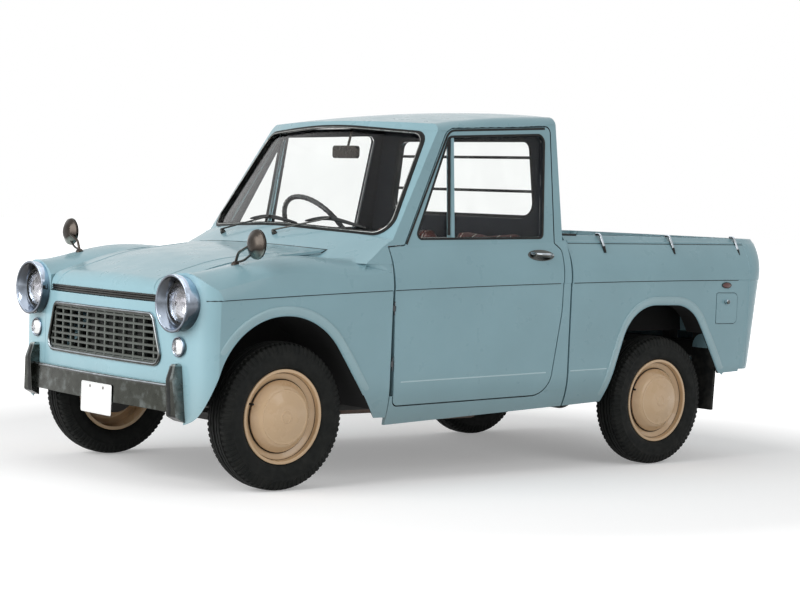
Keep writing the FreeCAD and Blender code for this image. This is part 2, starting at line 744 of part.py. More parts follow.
def front_bumper():
    """Bowed steel bar with a rolled edge, overriders at its ends and brackets to the frame."""
    def band(y, depth, z0, z1, half):
        sag = half * half / (2 * CROWN_RADIUS)
        outer = [Vector(-half, y + sag, z0), Vector(0, y, z0), Vector(half, y + sag, z0)]
        inner = [point + Vector(0, depth, 0) for point in outer]
        wire = Part.Wire([arc(*outer), line(outer[2], inner[2]),
                          arc(inner[2], inner[1], inner[0]), line(inner[0], outer[0])])
        return prism(wire, Vector(0, 0, z1 - z0))

    front = NOSE_Y - 14
    bar = band(front, 15.8, 284, 381, 478).cut(band(front + 4, 60, 288, 377, 482))
    bead = band(front - 2, 12, 367, 381, 478)
    guard_side = side_prism([
        (NOSE_Y + 60, 236, 0), (NOSE_Y - 6, 270, 12), (NOSE_Y - 15, 400, 40), (NOSE_Y + 2, 455, 14),
        (NOSE_Y + 60, 455, 0),
    ], 460, 540)
    guard_front = front_prism([(468, 230, 6), (534, 230, 6), (505, 455, 12), (474, 455, 12)],
                              NOSE_Y - 40, NOSE_Y + 70)
    guard = guard_side.common(guard_front).cut(behind_nose(-FIT_GAP))
    bracket = box(296, 324, front + 13, -1420.3, 325, 365)
    return fuse([bar, bead, guard, mirrored(guard), bracket, mirrored(bracket)])


# ---- Load bed -----------------------------------------------------------------------------------
def bed_side():
    outer = solid_loft([bed_section(y, tilt, 0) for y, tilt in
                        ((BED_FRONT_Y, 0.0), (900.0, 0.05), (BED_CORNER_Y, 0.10))])
    wall = outer.common(box(BED_WALL_X, 700, BED_FRONT_Y, 1500, 200, 1000))
    skin_core = outer.translated(Vector(-SKIN, 0, 0))
    cavity = skin_core.common(box(BED_WALL_X - 40, 700, BED_FRONT_Y - 50, 1500, 100, BED_FLOOR_Z - FLOOR_SHEET))
    wall = wall.cut(cavity)
    below = side_prism([
        (REAR_AXLE_Y + 300, 100, 0), (REAR_AXLE_Y + 300, 374, 0), (1400, 386, 0), (1500, 396, 0), (1500, 100, 0),
    ], 500, 700)
    wall = wall.cut([below, side_prism(REAR_ARCH, 500, 700)])
    fuel_hole = side_prism(grow_table(FLAP_OUTLINE, 3), HALF_WIDTH - 14, 700)
    y, x = FLAP_HINGE
    pins = [rod(2, (x, y, FLAP_OUTLINE[0][1] - 10), (x, y, FLAP_OUTLINE[0][1] + 8)),
            rod(2, (x, y, FLAP_OUTLINE[2][1] - 8), (x, y, FLAP_OUTLINE[2][1] + 10))]
    return wall, fuse([wall.cut(fuel_hole)] + pins)


FLAP_OUTLINE = [(1168, 590, 6), (1298, 590, 22), (1298, 718, 22), (1168, 718, 6)]
FLAP_HINGE = (1174.0, HALF_WIDTH - 6)


def grow_table(points, grow):
    """A rectangle's table moved outwards on every side."""
    ys = [p[0] for p in points]
    zs = [p[1] for p in points]
    middle_y = sum(ys) / len(ys)
    middle_z = sum(zs) / len(zs)
    return [
        (y + math.copysign(grow, y - middle_y), z + math.copysign(grow, z - middle_z), r + grow)
        for y, z, r in points
    ]


def tail_envelope():
    """The rounded tail, closed across the back."""
    stations = ((BED_CORNER_Y, 0.10, 0), (1448, 0.125, 9), (1478, TAIL_LEAN, 30), (TAIL_Y, TAIL_LEAN, 75))
    return solid_loft([bed_section(y, tilt, inset) for y, tilt, inset in stations])


def tail_pieces():
    """Rear corner pressing with its valance, and the tailgate hung in it."""
    tail = tail_envelope()
    outer = tail.cut(box(-700, 700, 1200, 1600, 100, 392))
    core = tail.translated(Vector(0, -TAILGATE_WALL, 0)).common(
        box(-BED_WALL_X, BED_WALL_X, 1200, 1600, 100, 1000))
    low_core = tail.translated(Vector(0, -SKIN, 0)).common(
        box(-HALF_WIDTH + 40, HALF_WIDTH - 40, 1200, 1600, 100, BED_FLOOR_Z - FLOOR_SHEET))
    mouth = box(-TAILGATE_HALF - SHUT_GAP, TAILGATE_HALF + SHUT_GAP, 1300, 1600,
                TAILGATE_FOOT_Z - SHUT_GAP, 1000)
    frame = outer.cut([core, low_core, mouth])
    gate = outer.cut(tail.translated(Vector(0, -TAILGATE_WALL, 0))).common(
        box(-TAILGATE_HALF, TAILGATE_HALF, 1380, 1600, TAILGATE_FOOT_Z, 1000))
    y, z = tailgate_axis()
    frame_lugs = []
    gate_lugs = []
    for x in (-340, 340):
        frame_lugs.append(rod(4, (x - 40, y, z), (x + 40, y, z)))
        for side in (-1, 1):
            a, b = sorted((x + side * 30.3, x + side * 40))
            frame_lugs.append(box(a, b, y - 30, y + 6, z - 34, z + 4).cut(tail))
        barrel = rod(8, (x - 30, y, z), (x + 30, y, z)).fuse(box(x - 30, x + 30, y - 12, y + 2, z, z + 34))
        gate_lugs.append(barrel.cut([rod(4 + FIT_GAP, (x - 40, y, z), (x + 40, y, z)), tail]))
    return fuse([frame] + frame_lugs), fuse([gate] + gate_lugs)


def tailgate_axis():
    """Hinge line just outside the tail's face, below the tailgate."""
    z = TAILGATE_FOOT_Z - SHUT_GAP / 2
    return TAIL_Y + TAIL_LEAN * (z - TAIL_LEAN_Z) + 9, z


def bed_tub():
    """Load floor, headboard and wheel boxes in one pressing."""
    back = BED_CORNER_Y + 20
    floor = box(-BED_WALL_X + FIT_GAP, BED_WALL_X - FIT_GAP, BED_FRONT_Y, back,
                BED_FLOOR_Z - FLOOR_SHEET, BED_FLOOR_Z)
    head = front_prism([(-BED_WALL_X + FIT_GAP, 548, 0), (BED_WALL_X - FIT_GAP, 548, 0),
                        (BED_WALL_X - FIT_GAP, 940, 18), (-BED_WALL_X + FIT_GAP, 940, 18)],
                       BED_FRONT_Y, BED_FRONT_Y + 24)
    y0 = REAR_AXLE_Y - 300
    y1 = REAR_AXLE_Y + 300
    box_outline = [(y0, 560, 0), (y0 + 20, 690, 90), (y1 - 20, 690, 90), (y1, 560, 0)]
    hump = side_prism(box_outline, 450, BED_WALL_X - FIT_GAP)
    void = side_prism([(y0 + 9, 500, 0), (y0 + 29, 681, 82), (y1 - 29, 681, 82), (y1 - 9, 500, 0)],
                      459, BED_WALL_X + 10)
    tub = fuse([floor, head, hump, mirrored(hump)])
    return tub.cut([void, mirrored(void)])


# ---- Chassis ------------------------------------------------------------------------------------
RAIL_PATH = [
    (-1418, RAIL_FRONT_Z, 0), (-780, RAIL_FRONT_Z, 50), (-726, RAIL_MIDDLE_Z, 50),
    (290, RAIL_MIDDLE_Z, 80), (440, RAIL_REAR_Z, 80), (1410, RAIL_REAR_Z, 0),
]


def channel_rail():
    """Left frame rail: a channel, open inwards, that kicks up over both axles."""
    y, z, _ = RAIL_PATH[0]
    half_h = RAIL_HEIGHT / 2
    web = 6.0
    points = [
        (RAIL_X + RAIL_WIDTH / 2, z - half_h, 4), (RAIL_X + RAIL_WIDTH / 2, z + half_h, 4),
        (RAIL_X - RAIL_WIDTH / 2, z + half_h, 0), (RAIL_X - RAIL_WIDTH / 2, z + half_h - web, 0),
        (RAIL_X + RAIL_WIDTH / 2 - web, z + half_h - web, 0),
        (RAIL_X + RAIL_WIDTH / 2 - web, z - half_h + web, 0),
        (RAIL_X - RAIL_WIDTH / 2, z - half_h + web, 0), (RAIL_X - RAIL_WIDTH / 2, z - half_h, 0),
    ]
    profile = outline(points, on_front(y))
    return swept(profile, edges_through(RAIL_PATH, on_side(RAIL_X), False), Vector(1, 0, 0))


BED_MOUNTS = (520.0, 1250.0)


def chassis_frame():
    reach = RAIL_X + RAIL_WIDTH / 2 - 6
    # Crossmembers: y, depth along Y, low z, high z
    members = [
        (-1400, 40, 318, 372), (-600, 40, 251, 270), (-200, 50, 251, 276), (225, 44, 251, 262),
        (640, 44, 440, 494), (1130, 44, 426, 494), (1388, 40, 426, 494),
    ]
    pieces = [channel_rail()]
    pieces.append(mirrored(pieces[0]))
    for y, depth, z0, z1 in members:
        pieces.append(box(-reach, reach, y - depth / 2, y + depth / 2, z0, z1))
    # Outriggers that carry the sills and the bed: y, low z, high z
    for y, z0, z1 in ((-420, 270, 318), (150, 270, 318), (480, 440, 500), (1250, 440, 500)):
        reach_out = 566 if y < 300 else 530
        arm = box(RAIL_X, reach_out, y - 18, y + 18, z0, z1)
        pieces += [arm, mirrored(arm)]
    for y in BED_MOUNTS:
        pad = box(RAIL_X - 22, RAIL_X + 22, y - 25, y + 25, RAIL_REAR_Z + RAIL_HEIGHT / 2 - 2,
                  BED_FLOOR_Z - FLOOR_SHEET - FIT_GAP)
        pieces += [pad, mirrored(pad)]
    return fuse(pieces)


def leaf_spring(axle_y, seat_z, eye_z, half_span, x):
    """Three-leaf semi-elliptic spring with rolled eyes, U-bolted to its axle."""
    width = 45.0
    rise = eye_z - seat_z
    radius = (half_span ** 2 + rise ** 2) / (2 * rise)
    leaves = []
    for index, share in enumerate((1.0, 0.72, 0.45)):
        span = half_span * share
        top = seat_z + 22.5 - index * 7.5
        sag = radius - math.sqrt(radius ** 2 - span ** 2)
        upper = [Vector(0, axle_y - span, top + sag), Vector(0, axle_y, top), Vector(0, axle_y + span, top + sag)]
        lower = [point - Vector(0, 0, 7.5) for point in upper]
        wire = Part.Wire([arc(*upper), line(upper[2], lower[2]), arc(lower[2], lower[1], lower[0]),
                          line(lower[0], upper[0])])
        leaves.append(prism(wire, Vector(width, 0, 0)).translated(Vector(x - width / 2, 0, 0)))
    top = seat_z + 20 + rise
    for side in (-1, 1):
        eye = rod(15, (x - width / 2, axle_y + side * half_span, top), (x + width / 2, axle_y + side * half_span, top))
        leaves.append(eye)
    return leaves


def springs():
    front = leaf_spring(FRONT_AXLE_Y, FRONT_BEAM_TOP, FRONT_BEAM_TOP + 25, 260, RAIL_X)
    rear = leaf_spring(REAR_AXLE_Y, AXLE_Z + 32 + FIT_GAP, AXLE_Z + 96, 370, RAIL_X)
    hangers = []
    # Spring hangers: y, eye height, underside of the rail
    front_eye = FRONT_BEAM_TOP + 20 + 25
    for y in (FRONT_AXLE_Y - 260, FRONT_AXLE_Y + 260):
        hangers.append(box(RAIL_X - 12, RAIL_X + 12, y - 12, y + 12, front_eye, RAIL_FRONT_Z - 40 - FIT_GAP))
    rear_eye = AXLE_Z + 32 + FIT_GAP + 20 + 64 - FIT_GAP
    for y in (REAR_AXLE_Y - 370, REAR_AXLE_Y + 370):
        top = RAIL_REAR_Z - 40 - FIT_GAP
        hangers.append(box(RAIL_X - 12, RAIL_X + 12, y - 12, y + 12, rear_eye - 10, top))
    front_set = fuse(front + hangers[:2])
    rear_set = fuse(rear + hangers[2:])
    return pair(group([front_set, rear_set]))


FRONT_BEAM_Z = 226.0
FRONT_BEAM_TOP = FRONT_BEAM_Z + 18 + FIT_GAP


def front_axle():
    """Dropped beam between the kingpin eyes."""
    path = [(-KINGPIN_X + 12, AXLE_Z, 0), (-430, AXLE_Z, 40), (-385, FRONT_BEAM_Z, 40),
            (385, FRONT_BEAM_Z, 40), (430, AXLE_Z, 40), (KINGPIN_X - 12, AXLE_Z, 0)]
    edges = edges_through(path, on_front(FRONT_AXLE_Y), False)
    start = Vector(-KINGPIN_X + 12, FRONT_AXLE_Y, AXLE_Z)
    profile = outline([(FRONT_AXLE_Y - 18, AXLE_Z - 18, 5), (FRONT_AXLE_Y + 18, AXLE_Z - 18, 5),
                       (FRONT_AXLE_Y + 18, AXLE_Z + 18, 5), (FRONT_AXLE_Y - 18, AXLE_Z + 18, 5)],
                      on_side(start.x))
    beam = swept(profile, edges, Vector(0, 1, 0))
    pieces = [beam]
    for side in (-1, 1):
        x = side * KINGPIN_X
        pieces.append(rod(20, (x, FRONT_AXLE_Y, AXLE_Z - 20), (x, FRONT_AXLE_Y, AXLE_Z + 20)))
    axle = fuse(pieces)
    bores = [rod(10.3, (s * KINGPIN_X, FRONT_AXLE_Y, 150), (s * KINGPIN_X, FRONT_AXLE_Y, 400)) for s in (-1, 1)]
    return axle.cut(bores)


def knuckle():
    """Left knuckle: kingpin between two lugs, stub axle, back plate and steering arm."""
    x, y, z = KINGPIN_X, FRONT_AXLE_Y, AXLE_Z
    kingpin = rod(10, (x, y, z - 50), (x, y, z + 50))
    lugs = [rod(20, (x, y, z + 22), (x, y, z + 50)), rod(20, (x, y, z - 50), (x, y, z - 22))]
    web = box(x + 24, x + 34, y - 26, y + 26, z - 50, z + 50)
    links = [box(x, x + 26, y - 16, y + 16, z + 22, z + 50), box(x, x + 26, y - 16, y + 16, z - 50, z - 22)]
    plate = rod(101, (x + 31, y, z), (x + 35, y, z))
    spindle = rod(12, (x + 30, y, z), (WHEEL_X + 32, y, z))
    arm_x, arm_y = x + STEER_ARM[0], y + STEER_ARM[1]
    top = z - TIE_ROD_DROP - 12
    arm = top_prism([(x - 12, y, 0), (x + 12, y, 0), (arm_x + 11, arm_y, 0), (arm_x - 11, arm_y, 0)],
                    top - 12, top)
    boss = rod(13, (arm_x, arm_y, top - 12), (arm_x, arm_y, top))
    pin = rod(6, (arm_x, arm_y, top - 2), (arm_x, arm_y, top + 26))
    return fuse([kingpin, web, plate, spindle, arm, boss, pin] + lugs + links)


def tie_rod():
    z = AXLE_Z - TIE_ROD_DROP
    half = KINGPIN_X + STEER_ARM[0]
    y = FRONT_AXLE_Y + STEER_ARM[1]
    pieces = [rod(8, (-half, y, z), (half, y, z))]
    for side in (-1, 1):
        pieces.append(rod(13, (side * half, y, z - 11), (side * half, y, z + 11)))
    bores = [rod(6.3, (side * half, y, z - 20), (side * half, y, z + 20)) for side in (-1, 1)]
    return fuse(pieces).cut(bores)


def rear_axle():
    """Live axle: tubes, round differential housing with its nose, and back plates."""
    y, z = REAR_AXLE_Y, AXLE_Z
    tube = rod(32, (-WHEEL_X + 38, y, z), (WHEEL_X - 38, y, z))
    housing = turned([(-75, 0, 0), (-75, 45, 0), (-50, 92, 30), (50, 92, 30), (75, 45, 0), (75, 0, 0)],
                     (0, y, z), (1, 0, 0), (0, 0, 1))
    nose = turned([(0, 0, 0), (0, 62, 0), (150, 34, 10), (150, 0, 0)], (0, y - 60, z), (0, -1, 0), (0, 0, 1))
    plates = [rod(101, (s * (WHEEL_X - 41), y, z), (s * (WHEEL_X - 37), y, z)) for s in (-1, 1)]
    ends = [rod(12, (s * (WHEEL_X - 60), y, z), (s * (WHEEL_X + 32), y, z)) for s in (-1, 1)]
    return fuse([tube, housing, nose] + plates + ends)


def propeller_shaft():
    start = (0, -556, 330)
    end = (0, REAR_AXLE_Y - 60 - 150 - 2, AXLE_Z + 1)
    return rod(26, start, end)


def engine():
    """Engine and gearbox as one plain block with its bell housing."""
    block = side_prism([(-1300, 292, 20), (-935, 292, 20), (-935, 640, 30), (-1300, 640, 30)], -165, 165)
    head = side_prism([(-1270, 630, 0), (-965, 630, 0), (-975, 700, 15), (-1260, 700, 15)], -95, 95)
    bell = turned([(0, 0, 0), (0, 125, 0), (110, 95, 20), (370, 62, 10), (370, 0, 0)],
                  (0, -936, 392), (0, 1, -0.16), (0, 0.158, 0.987))
    foot = box(-300, 300, -1130, -1090, RAIL_FRONT_Z - 34 + FIT_GAP, 350)
    return fuse([block, head, bell, foot])


def wheel(side, y):
    """Pressed steel wheel with a brake drum and a domed hub cap; side is +1 for left."""
    origin = (side * WHEEL_X, y, AXLE_Z)
    along = (side, 0, 0)
    rim = turned([
        (-48, 158, 0), (-48, 171, 2), (-45, 171, 0), (-45, 163, 0), (45, 163, 0), (45, 171, 0),
        (50, 171, 2), (50, 160, 3), (30, 156, 10), (18, 128, 12), (26, 96, 10), (26, 40, 0), (20, 40, 0),
        (20, 92, 10), (11, 128, 14), (20, 157, 8), (-40, 157, 0),
    ], origin, along, (0, 0, 1))
    cap = turned([
        (24, 0, 0), (24, 127, 0), (29, 131, 3), (58, 104, 30), (69, 50, 90), (71, 0, 0),
    ], origin, along, (0, 0, 1))
    drum = turned([
        (-34, 97, 3), (20.5, 97, 5), (20.5, 12.3, 0), (12, 12.3, 0), (12, 88, 0), (-34, 88, 0),
    ], origin, along, (0, 0, 1))
    hub = turned([(-24, 12.3, 0), (-24, 28, 0), (24.5, 34, 0), (24.5, 12.3, 0)], origin, along, (0, 0, 1))
    bore = turned([(-60, 0, 0), (-60, 12.3, 0), (34, 12.3, 0), (34, 0, 0)], origin, along, (0, 0, 1))
    return fuse([rim, cap, drum, hub]).cut(bore)


def tyre(side, y):
    half = TYRE_WIDTH / 2
    return turned([
        (-44.7, 163.3, 0), (-44.7, 174, 4), (-half, 196, 18), (-half, 232, 22), (-half + 11, 262, 9),
        (-30, TYRE_RADIUS, 60), (30, TYRE_RADIUS, 60), (half - 11, 262, 9), (half, 232, 22), (half, 196, 18), (44.7, 174, 4),
        (44.7, 163.3, 0),
    ], (side * WHEEL_X, y, AXLE_Z), (side, 0, 0), (0, 0, 1))


# ---- Cab interior -------------------------------------------------------------------------------
def cab_floor():
    """Floor with its tunnel, toe board, bulkhead and hinge posts."""
    wall = 10.0
    half = 560.0
    back = CAB_BACK_Y - CAB_WALL - FIT_GAP
    floor = box(-half, half, -690, back, FLOOR_Z, FLOOR_Z + FLOOR_SHEET)
    bulkhead = box(-558, 558, BULKHEAD_Y, -690, FLOOR_Z, 838)
    toe = side_prism([(-690, 470, 0), (-690, 480, 0), (-560, FLOOR_Z + 12, 0), (-578, FLOOR_Z + 10, 0)], -half, half)
    tunnel = [(-130, FLOOR_Z, 0), (-120, 476, 60), (120, 476, 60), (130, FLOOR_Z, 0)]
    low_tunnel = [(-70, FLOOR_Z, 0), (-64, 392, 40), (64, 392, 40), (70, FLOOR_Z, 0)]
    raised = fuse([floor, bulkhead, toe, front_prism(tunnel, -702, -430), front_prism(low_tunnel, -430, back)])
    inner = [(-120, FLOOR_Z - 20, 0), (-110, 466, 52), (110, 466, 52), (120, FLOOR_Z - 20, 0)]
    low_inner = [(-60, FLOOR_Z - 20, 0), (-54, 382, 32), (54, 382, 32), (60, FLOOR_Z - 20, 0)]
    raised = raised.cut([front_prism(inner, -720, -430 - wall), front_prism(low_inner, -500, back + 20)])
    post = fuse([box(588, 622, -690, DOOR_FRONT_Y - SHUT_GAP - 4, 300, 780)] + door_hinge_leaves())
    base = box(545, 600, -690, -600, FLOOR_Z, FLOOR_Z + 12)
    carried = seat_frames() + bonnet_hinge_pins()
    floor = fuse([raised, post, mirrored(post), base, mirrored(base)] + carried)
    column_hole = Part.makeCylinder(21 + FIT_GAP, 900, STEER_CENTRE - COLUMN_AXIS * 700, COLUMN_AXIS)
    return floor.cut(column_hole)


def seats():
    """Two separate seats, each a cushion and a back on a low frame."""
    cushions = []
    backs = []
    for x in SEAT_CENTRES:
        cushion = side_prism([(-270, 520, 30), (180, 500, 20), (180, 620, 30), (-280, 650, 45)], x - 215, x + 215)
        back = side_prism([(122, 632, 20), (198, 627, 20), (238, 945, 26), (165, 950, 36)], x - 205, x + 205)
        cushions.append(cushion)
        backs.append(back)
    return group(cushions), group(backs)


SEAT_CENTRES = (-265.0, 265.0)


def seat_frames():
    """Low pressed boxes on the floor, open front to back, with the posts behind the seat backs."""
    frames = []
    for x in SEAT_CENTRES:
        frame = side_prism([(-240, FLOOR_Z + 4, 0), (172, FLOOR_Z + 4, 0), (172, 500 - FIT_GAP, 0),
                            (-240, 518 - FIT_GAP, 0)], x - 190, x + 190)
        hollow = side_prism([(-300, FLOOR_Z - 4, 0), (300, FLOOR_Z - 4, 0), (300, 470, 0), (-300, 488, 0)],
                            x - 175, x + 175)
        frames.append(frame.cut(hollow))
        frames.append(side_prism([(160, 470, 0), (200, 470, 0), (236, 700, 0), (222, 760, 0), (208, 700, 0),
                                  (186, 492, 0), (160, 492, 0)], x - 30, x + 30))
    return frames


def dashboard():
    """Padded shelf, instrument panel and parcel tray across the cab."""
    shelf = side_prism([(-690, 790, 0), (-560, 770, 20), (-520, 850, 30), (-560, 878, 20), (-655, 872, 0),
                        (-690, 846, 0)], -548, 548)
    tray = side_prism([(-689, 600, 0), (-540, 600, 0), (-540, 640, 0), (-548, 640, 0), (-548, 610, 0),
                       (-689, 610, 0)], 40, 548)
    brackets = [box(40, 48, -689, -548, 605, 792), box(540, 548, -689, -548, 605, 792)]
    return fuse([shelf, tray] + brackets)


COLUMN_AXIS = Vector(0, 0.819, 0.574)
STEER_CENTRE = Vector(STEER_COLUMN_X, -285, 895)


def steering_wheel():
    """Thin rim, two spokes and a hub on the column's axis."""
    rim = Part.makeTorus(195, 10, STEER_CENTRE, COLUMN_AXIS)
    hub_start = STEER_CENTRE - COLUMN_AXIS * 70
    hub = Part.makeCylinder(24, 78, hub_start, COLUMN_AXIS)
    spokes = []
    for side in (-1, 1):
        tip = STEER_CENTRE + Vector(side * 193, 0, 0)
        root = STEER_CENTRE - COLUMN_AXIS * 22
        spokes.append(Part.makeCylinder(7, (tip - root).Length, root, tip - root))
    bore = Part.makeCylinder(12.3, 55, hub_start - COLUMN_AXIS * 1, COLUMN_AXIS)
    return fuse([rim, hub] + spokes).cut(bore)


def steering_column():
    """Column jacket down to the steering box on the frame."""
    top = STEER_CENTRE - COLUMN_AXIS * 20
    foot = STEER_CENTRE - COLUMN_AXIS * 640
    shaft = Part.makeCylinder(12, (top - foot).Length, foot, COLUMN_AXIS)
    jacket_foot = STEER_CENTRE - COLUMN_AXIS * 600
    jacket = Part.makeCylinder(21, 520, jacket_foot, COLUMN_AXIS)
    boxed = box(STEER_COLUMN_X - 45, STEER_COLUMN_X + 40, -850, -760, 385.3, 560)
    return fuse([shaft, jacket, boxed])


def cab_controls():
    """Gear lever, hand brake and three pedals."""
    lever = bent_rod([(-440, 477, 0), (-430, 640, 80), (-340, 760, 0)], on_side(-20), Vector(1, 0, 0), 7)
    knob = Part.makeSphere(19, Vector(-20, -335, 766))
    brake = bent_rod([(-120, 396.5, 0), (-160, 470, 30), (-330, 520, 0)], on_side(25), Vector(1, 0, 0), 9)
    pedals = []
    for x in (-385, -318, -185):
        arm = bent_rod([(-685, 637, 0), (-640, 600, 30), (-600, 470, 0)], on_side(x), Vector(1, 0, 0), 7)
        pad = box(x - 26, x + 26, -606, -594, 440, 500)
        pedals.append(fuse([arm, pad]))
    return group([fuse([lever, knob]), brake, steering_column()] + pedals)


# ---- Small fittings -----------------------------------------------------------------------------
def interior_mirror():
    glass = front_prism([(-45, 1214, 14), (109, 1214, 14), (109, 1264, 14), (-45, 1264, 14)], -392, -376)
    stem = rod(5, (32, -380, 1240), (32, -352, 1346))
    return fuse([glass, stem])


def fender_mirrors():
    """Round mirror heads on bent stalks from the fender tops."""
    head = turned([(0, 0, 0), (0, 52, 3), (-8, 52, 4), (-26, 26, 40), (-28, 0, 0)],
                  (631, -1234, 880), (0, 1, 0), (0, 0, 1))
    stalk = bent_rod([(528, 806, 0), (548, 848, 25), (618, 876, 0)], on_front(-1254), Vector(0, 1, 0), 5)
    foot = turned([(-24, 0, 0), (-24, 15, 0), (0, 15, 0), (8, 8, 4), (8, 0, 0)], (530, -1254, 808), (0, 0, 1), (1, 0, 0))
    return pair(fuse([head, stalk, foot]))


def wipers():
    """Two arms parked along the foot of the windscreen."""
    pieces = []
    for x in (-420.0, -60.0):
        bow = x * x / (2 * WINDSCREEN_PLAN_RADIUS)
        y = WINDSCREEN_FOOT[0] + bow - 34
        pivot = rod(10, (x, y, 890), (x, y - 8, 918))
        end_x = x + 190
        end_bow = end_x * end_x / (2 * WINDSCREEN_PLAN_RADIUS)
        end_y = WINDSCREEN_FOOT[0] + end_bow - 6
        arm = rod(4, (x, y - 6, 914), (end_x, end_y - 12, 968))
        blade_x0, blade_x1 = end_x - 120, end_x + 150
        blade = rod(5, (blade_x0, end_y - 14, 982), (blade_x1, end_y - 12, 950))
        pieces.append(fuse([pivot, arm, blade]))
    return group(pieces)


def guard_bars():
    bars = []
    for z, half in ((1250, 446), (1113, 466)):
        path = [(-half, CAB_BACK_Y + FIT_GAP, 0), (-half, CAB_BACK_Y + 16, 10), (half, CAB_BACK_Y + 16, 10),
                (half, CAB_BACK_Y + FIT_GAP, 0)]
        bars.append(bent_rod(path, on_top(z), Vector(0, 0, 1), 6))
    return group(bars)


def rope_hooks():
    hooks = []
    for y in (507, 918, 1325):
        top = rail_top_height(y)
        path = [(560, top + 6, 0), (582, top + 6, 14), (607, 905, 14), (616, 880, 0)]
        hooks.append(bent_rod(path, on_front(y), Vector(0, 1, 0), 5.5))
    return pair(group(hooks))


def mud_flaps():
    flap = side_prism([(0, 0, 0), (14, 0, 0), (26, 262, 0), (12, 262, 0)], 492, 622)
    flap = flap.translated(Vector(0, REAR_AXLE_Y + 318, 218))
    bracket = box(492, 622, REAR_AXLE_Y + 330, REAR_AXLE_Y + 338, 470, 548)
    return pair(fuse([flap, bracket]))


def rear_lamps():
    y = TAIL_Y + TAIL_LEAN * (700 - TAIL_LEAN_Z)
    base = front_prism([(508, 640, 22), (562, 640, 22), (562, 760, 22), (508, 760, 22)], y - 12, y + 20)
    return pair(base.cut(tail_envelope()))


def fuel_tank():
    body = top_prism([(60, 1168, 30), (280, 1168, 30), (280, 1370, 30), (60, 1370, 30)], 300, 420)
    return fuse([body, box(60, 280, 1120, 1394, 416, 426 - FIT_GAP)])


def exhaust():
    z = 251 - 18 - FIT_GAP
    pipe = bent_rod([(-960, 318, 0), (-700, z, 80), (420, z, 0)], on_side(210), Vector(1, 0, 0), 18)
    muffler = turned([(0, 0, 0), (0, 55, 8), (320, 55, 8), (320, 0, 0)], (210, -140, z), (0, 1, 0), (0, 0, 1))
    return fuse([pipe, muffler])


def radiator():
    return fuse([box(-210, 210, -1402, -1360, 372 + FIT_GAP, 600), box(-190, 190, -1410, -1350, 590, 632)])


def fuel_flap():
    lid = side_prism(FLAP_OUTLINE, HALF_WIDTH - 10, HALF_WIDTH - 2)
    knob = rod(9, (HALF_WIDTH - 4, 1226, 682), (HALF_WIDTH + 10, 1226, 682))
    y, x = FLAP_HINGE
    return fuse([lid, knob]).cut(rod(2 + FIT_GAP, (x, y, 500), (x, y, 800)))


# ---- Assembly -----------------------------------------------------------------------------------
def build():
    parts = {}
    roof, pillars, back, sills = cab_pieces()
    parts["roof_panel"] = roof
    cowl = cowl_piece()
    parts["windscreen_frame"] = fuse([pillars, cowl])
    parts["cab_back_panel"] = back
    parts["sills"] = sills
    screen, rear_pane, seals = window_set()
    parts["cab_glass"] = group([screen, rear_pane])
    parts["window_seals"] = seals
    door, glass = door_set()
    handle = door_handle().cut(door)
    parts["door_left"] = door
    parts["door_right"] = mirrored(door)
    parts["door_glass_left"] = glass
    parts["door_glass_right"] = mirrored(glass)
    parts["door_handle_left"] = handle
    parts["door_handle_right"] = mirrored(handle)
    fenders = pair(front_fender())
    parts["front_fenders"] = fenders
    parts["nose_panel"], parts["bonnet"] = nose_and_bonnet()
    parts["grille"], parts["grille_surround"] = grille_set()
    parts["front_lamp_rims"], parts["front_lamp_lenses"] = front_lamps()
    parts["front_bumper"] = front_bumper()
    wall, flap_wall = bed_side()
    parts["bed_sides"] = group([flap_wall, mirrored(wall)])
    parts["rear_panel"], parts["tailgate"] = tail_pieces()
    parts["bed_tub"] = bed_tub()
    parts["chassis_frame"] = chassis_frame()
    parts["leaf_springs"] = springs()
    parts["front_axle"] = front_axle()
    left = knuckle()
    parts["knuckle_left"] = left
    parts["knuckle_right"] = mirrored(left)
    parts["tie_rod"] = tie_rod()
    parts["rear_axle"] = group([rear_axle(), propeller_shaft()])
    parts["engine"] = engine()
    parts["radiator"] = radiator()
    parts["fuel_tank"] = fuel_tank()
    parts["exhaust"] = exhaust()
    for end, y in (("front", FRONT_AXLE_Y), ("rear", REAR_AXLE_Y)):
        for name, side in (("left", 1), ("right", -1)):
            parts[f"{end}_{name}_wheel"] = wheel(side, y)
            parts[f"{end}_{name}_tyre"] = tyre(side, y)
    parts["cab_floor"] = cab_floor()
    parts["seat_cushions"], parts["seat_backs"] = seats()
    parts["dashboard"] = dashboard()
    parts["steering_wheel"] = steering_wheel()
    parts["cab_controls"] = cab_controls()
    parts["mirrors"] = group([interior_mirror().cut(roof), fender_mirrors().cut(fenders)])
    parts["wipers"] = wipers().cut([parts["windscreen_frame"], seals])
    parts["rear_window_guard"] = guard_bars()
    parts["rope_hooks"] = rope_hooks().cut(group([wall, mirrored(wall)]))
    parts["mud_flaps"] = mud_flaps()
    parts["rear_lamps"] = rear_lamps()
    parts["fuel_flap"] = fuel_flap()
    return parts


def main():
    os.makedirs("parts", exist_ok=True)
    for name, shape in build().items():
        shape.exportStep(os.path.join("parts", name + ".step"))


main()
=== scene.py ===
"""Looks of a small bonneted pickup: finishes on its panels, and the trim that stands on them.

Metres. +Y runs to the tail, +X to the vehicle's left side, +Z up, and the ground is at zero.
"""
from __future__ import annotations

import json
import logging
import math
from dataclasses import dataclass, field
from enum import Enum
from typing import Sequence

import bpy
import bmesh
from mathutils import Matrix, Vector
from mathutils.bvhtree import BVHTree

